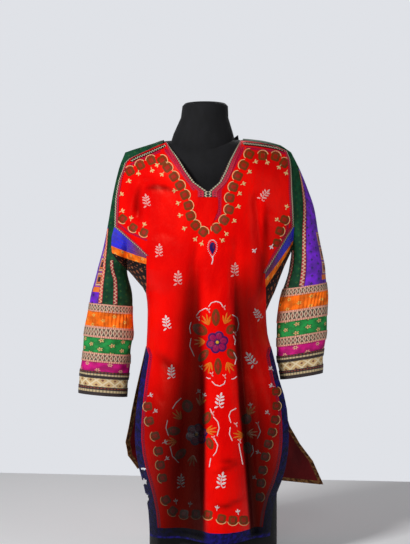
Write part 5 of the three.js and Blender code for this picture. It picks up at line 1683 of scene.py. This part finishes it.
def embroider_back():
    sets = {name: Stitches("back_" + name, screen(*tone), back=True) for name, tone in (
        ("olive", (116, 84, 26)), ("rust", (168, 46, 22)), ("moss", (62, 66, 22)),
        ("cream", (246, 200, 136)), ("white", (252, 226, 226)))}
    stitch_rounds(sets, BACK_ROUNDS)
    for px, py, degrees, size in BACK_SPRIGS:
        big_sprig(sets["white"], px, py, degrees, size)
    for each in sets.values():
        each.finish()


embroider()
embroider_back()


# Floor, backdrop, lights and camera
def plain_surface(name, corners, colour):
    mesh = bpy.data.meshes.new(name)
    mesh.from_pydata(corners, [], [tuple(range(len(corners)))])
    mesh.uv_layers.new(name="flat")
    surface = bpy.data.objects.new(name, mesh)
    bpy.context.scene.collection.objects.link(surface)
    f = Finish(name, rough=0.8)
    place = f.put("ShaderNodeTexCoord", {}).outputs[3]
    cloud = f.put("ShaderNodeTexNoise", {0: place, "Scale": 0.7, "Detail": 2.0}).outputs[0]
    shown = f.shade(cloud, colour, tuple(c * 0.96 for c in colour[:3]) + (1,))
    mesh.materials.append(f.end(shown, painted_shade=False))


def area_light(name, place, aim, size, power):
    data = bpy.data.lights.new(name, "AREA")
    data.shape = "RECTANGLE"
    data.size, data.size_y = size
    data.energy = power
    light = bpy.data.objects.new(name, data)
    light.location = place
    light.rotation_euler = (Vector(aim) - Vector(place)).to_track_quat("-Z", "Y").to_euler()
    bpy.context.scene.collection.objects.link(light)


FLOOR_BACK = 1.15
FLOOR_SLANT = 0.45
FLOOR_REACH = 3.5
ROOM_LIGHT = 0.11
WALL_LIGHT = 0.8
plain_surface("floor", [(-FLOOR_REACH, -FLOOR_REACH, 0), (FLOOR_REACH, -FLOOR_REACH, 0),
                        (FLOOR_REACH, FLOOR_BACK - FLOOR_SLANT, 0),
                        (-FLOOR_REACH, FLOOR_BACK + FLOOR_SLANT, 0)], screen(250, 250, 252))

# Name, place, aim, size and power of each light
LIGHTS = [
    ("key", (-1.9, -2.3, 2.6), (0, 0, 0.65), (0.6, 0.6), 92),
    ("front", (-0.2, -3.2, 1.9), (0, 0, 0.7), (0.8, 0.8), 9),
    ("fill", (2.6, -1.6, 1.3), (0, 0, 0.6), (1.2, 1.2), 10),
    ("rim", (0.4, 2.0, 2.4), (0, 0, 0.8), (1.6, 1.0), 18),
]
for row in LIGHTS:
    area_light(*row)

scene = bpy.context.scene
world = bpy.data.worlds.new("studio")
world.use_nodes = True
sky = world.node_tree.nodes["Background"]
sky.inputs[0].default_value = (0.93, 0.95, 1, 1)
seen = world.node_tree.nodes.new("ShaderNodeLightPath")
strength = world.node_tree.nodes.new("ShaderNodeMapRange")
strength.inputs[3].default_value = ROOM_LIGHT
strength.inputs[4].default_value = WALL_LIGHT
world.node_tree.links.new(seen.outputs[0], strength.inputs[0])
world.node_tree.links.new(strength.outputs[0], sky.inputs[1])
scene.world = world
scene.view_settings.view_transform = "Standard"

# The camera's lens and sensor in millimetres, and how far it sees in metres
LENS = 79.41
SENSOR = 36
FAR_CLIP = 50
camera_data = bpy.data.cameras.new("camera")
camera_data.lens = LENS
camera_data.sensor_width = SENSOR
camera_data.clip_end = FAR_CLIP
camera = bpy.data.objects.new("camera", camera_data)
camera.location = (EYE_X * MM, -EYE_DISTANCE * MM, EYE_HEIGHT * MM)
camera.rotation_euler = (math.pi / 2, 0, 0)
scene.collection.objects.link(camera)
scene.camera = camera
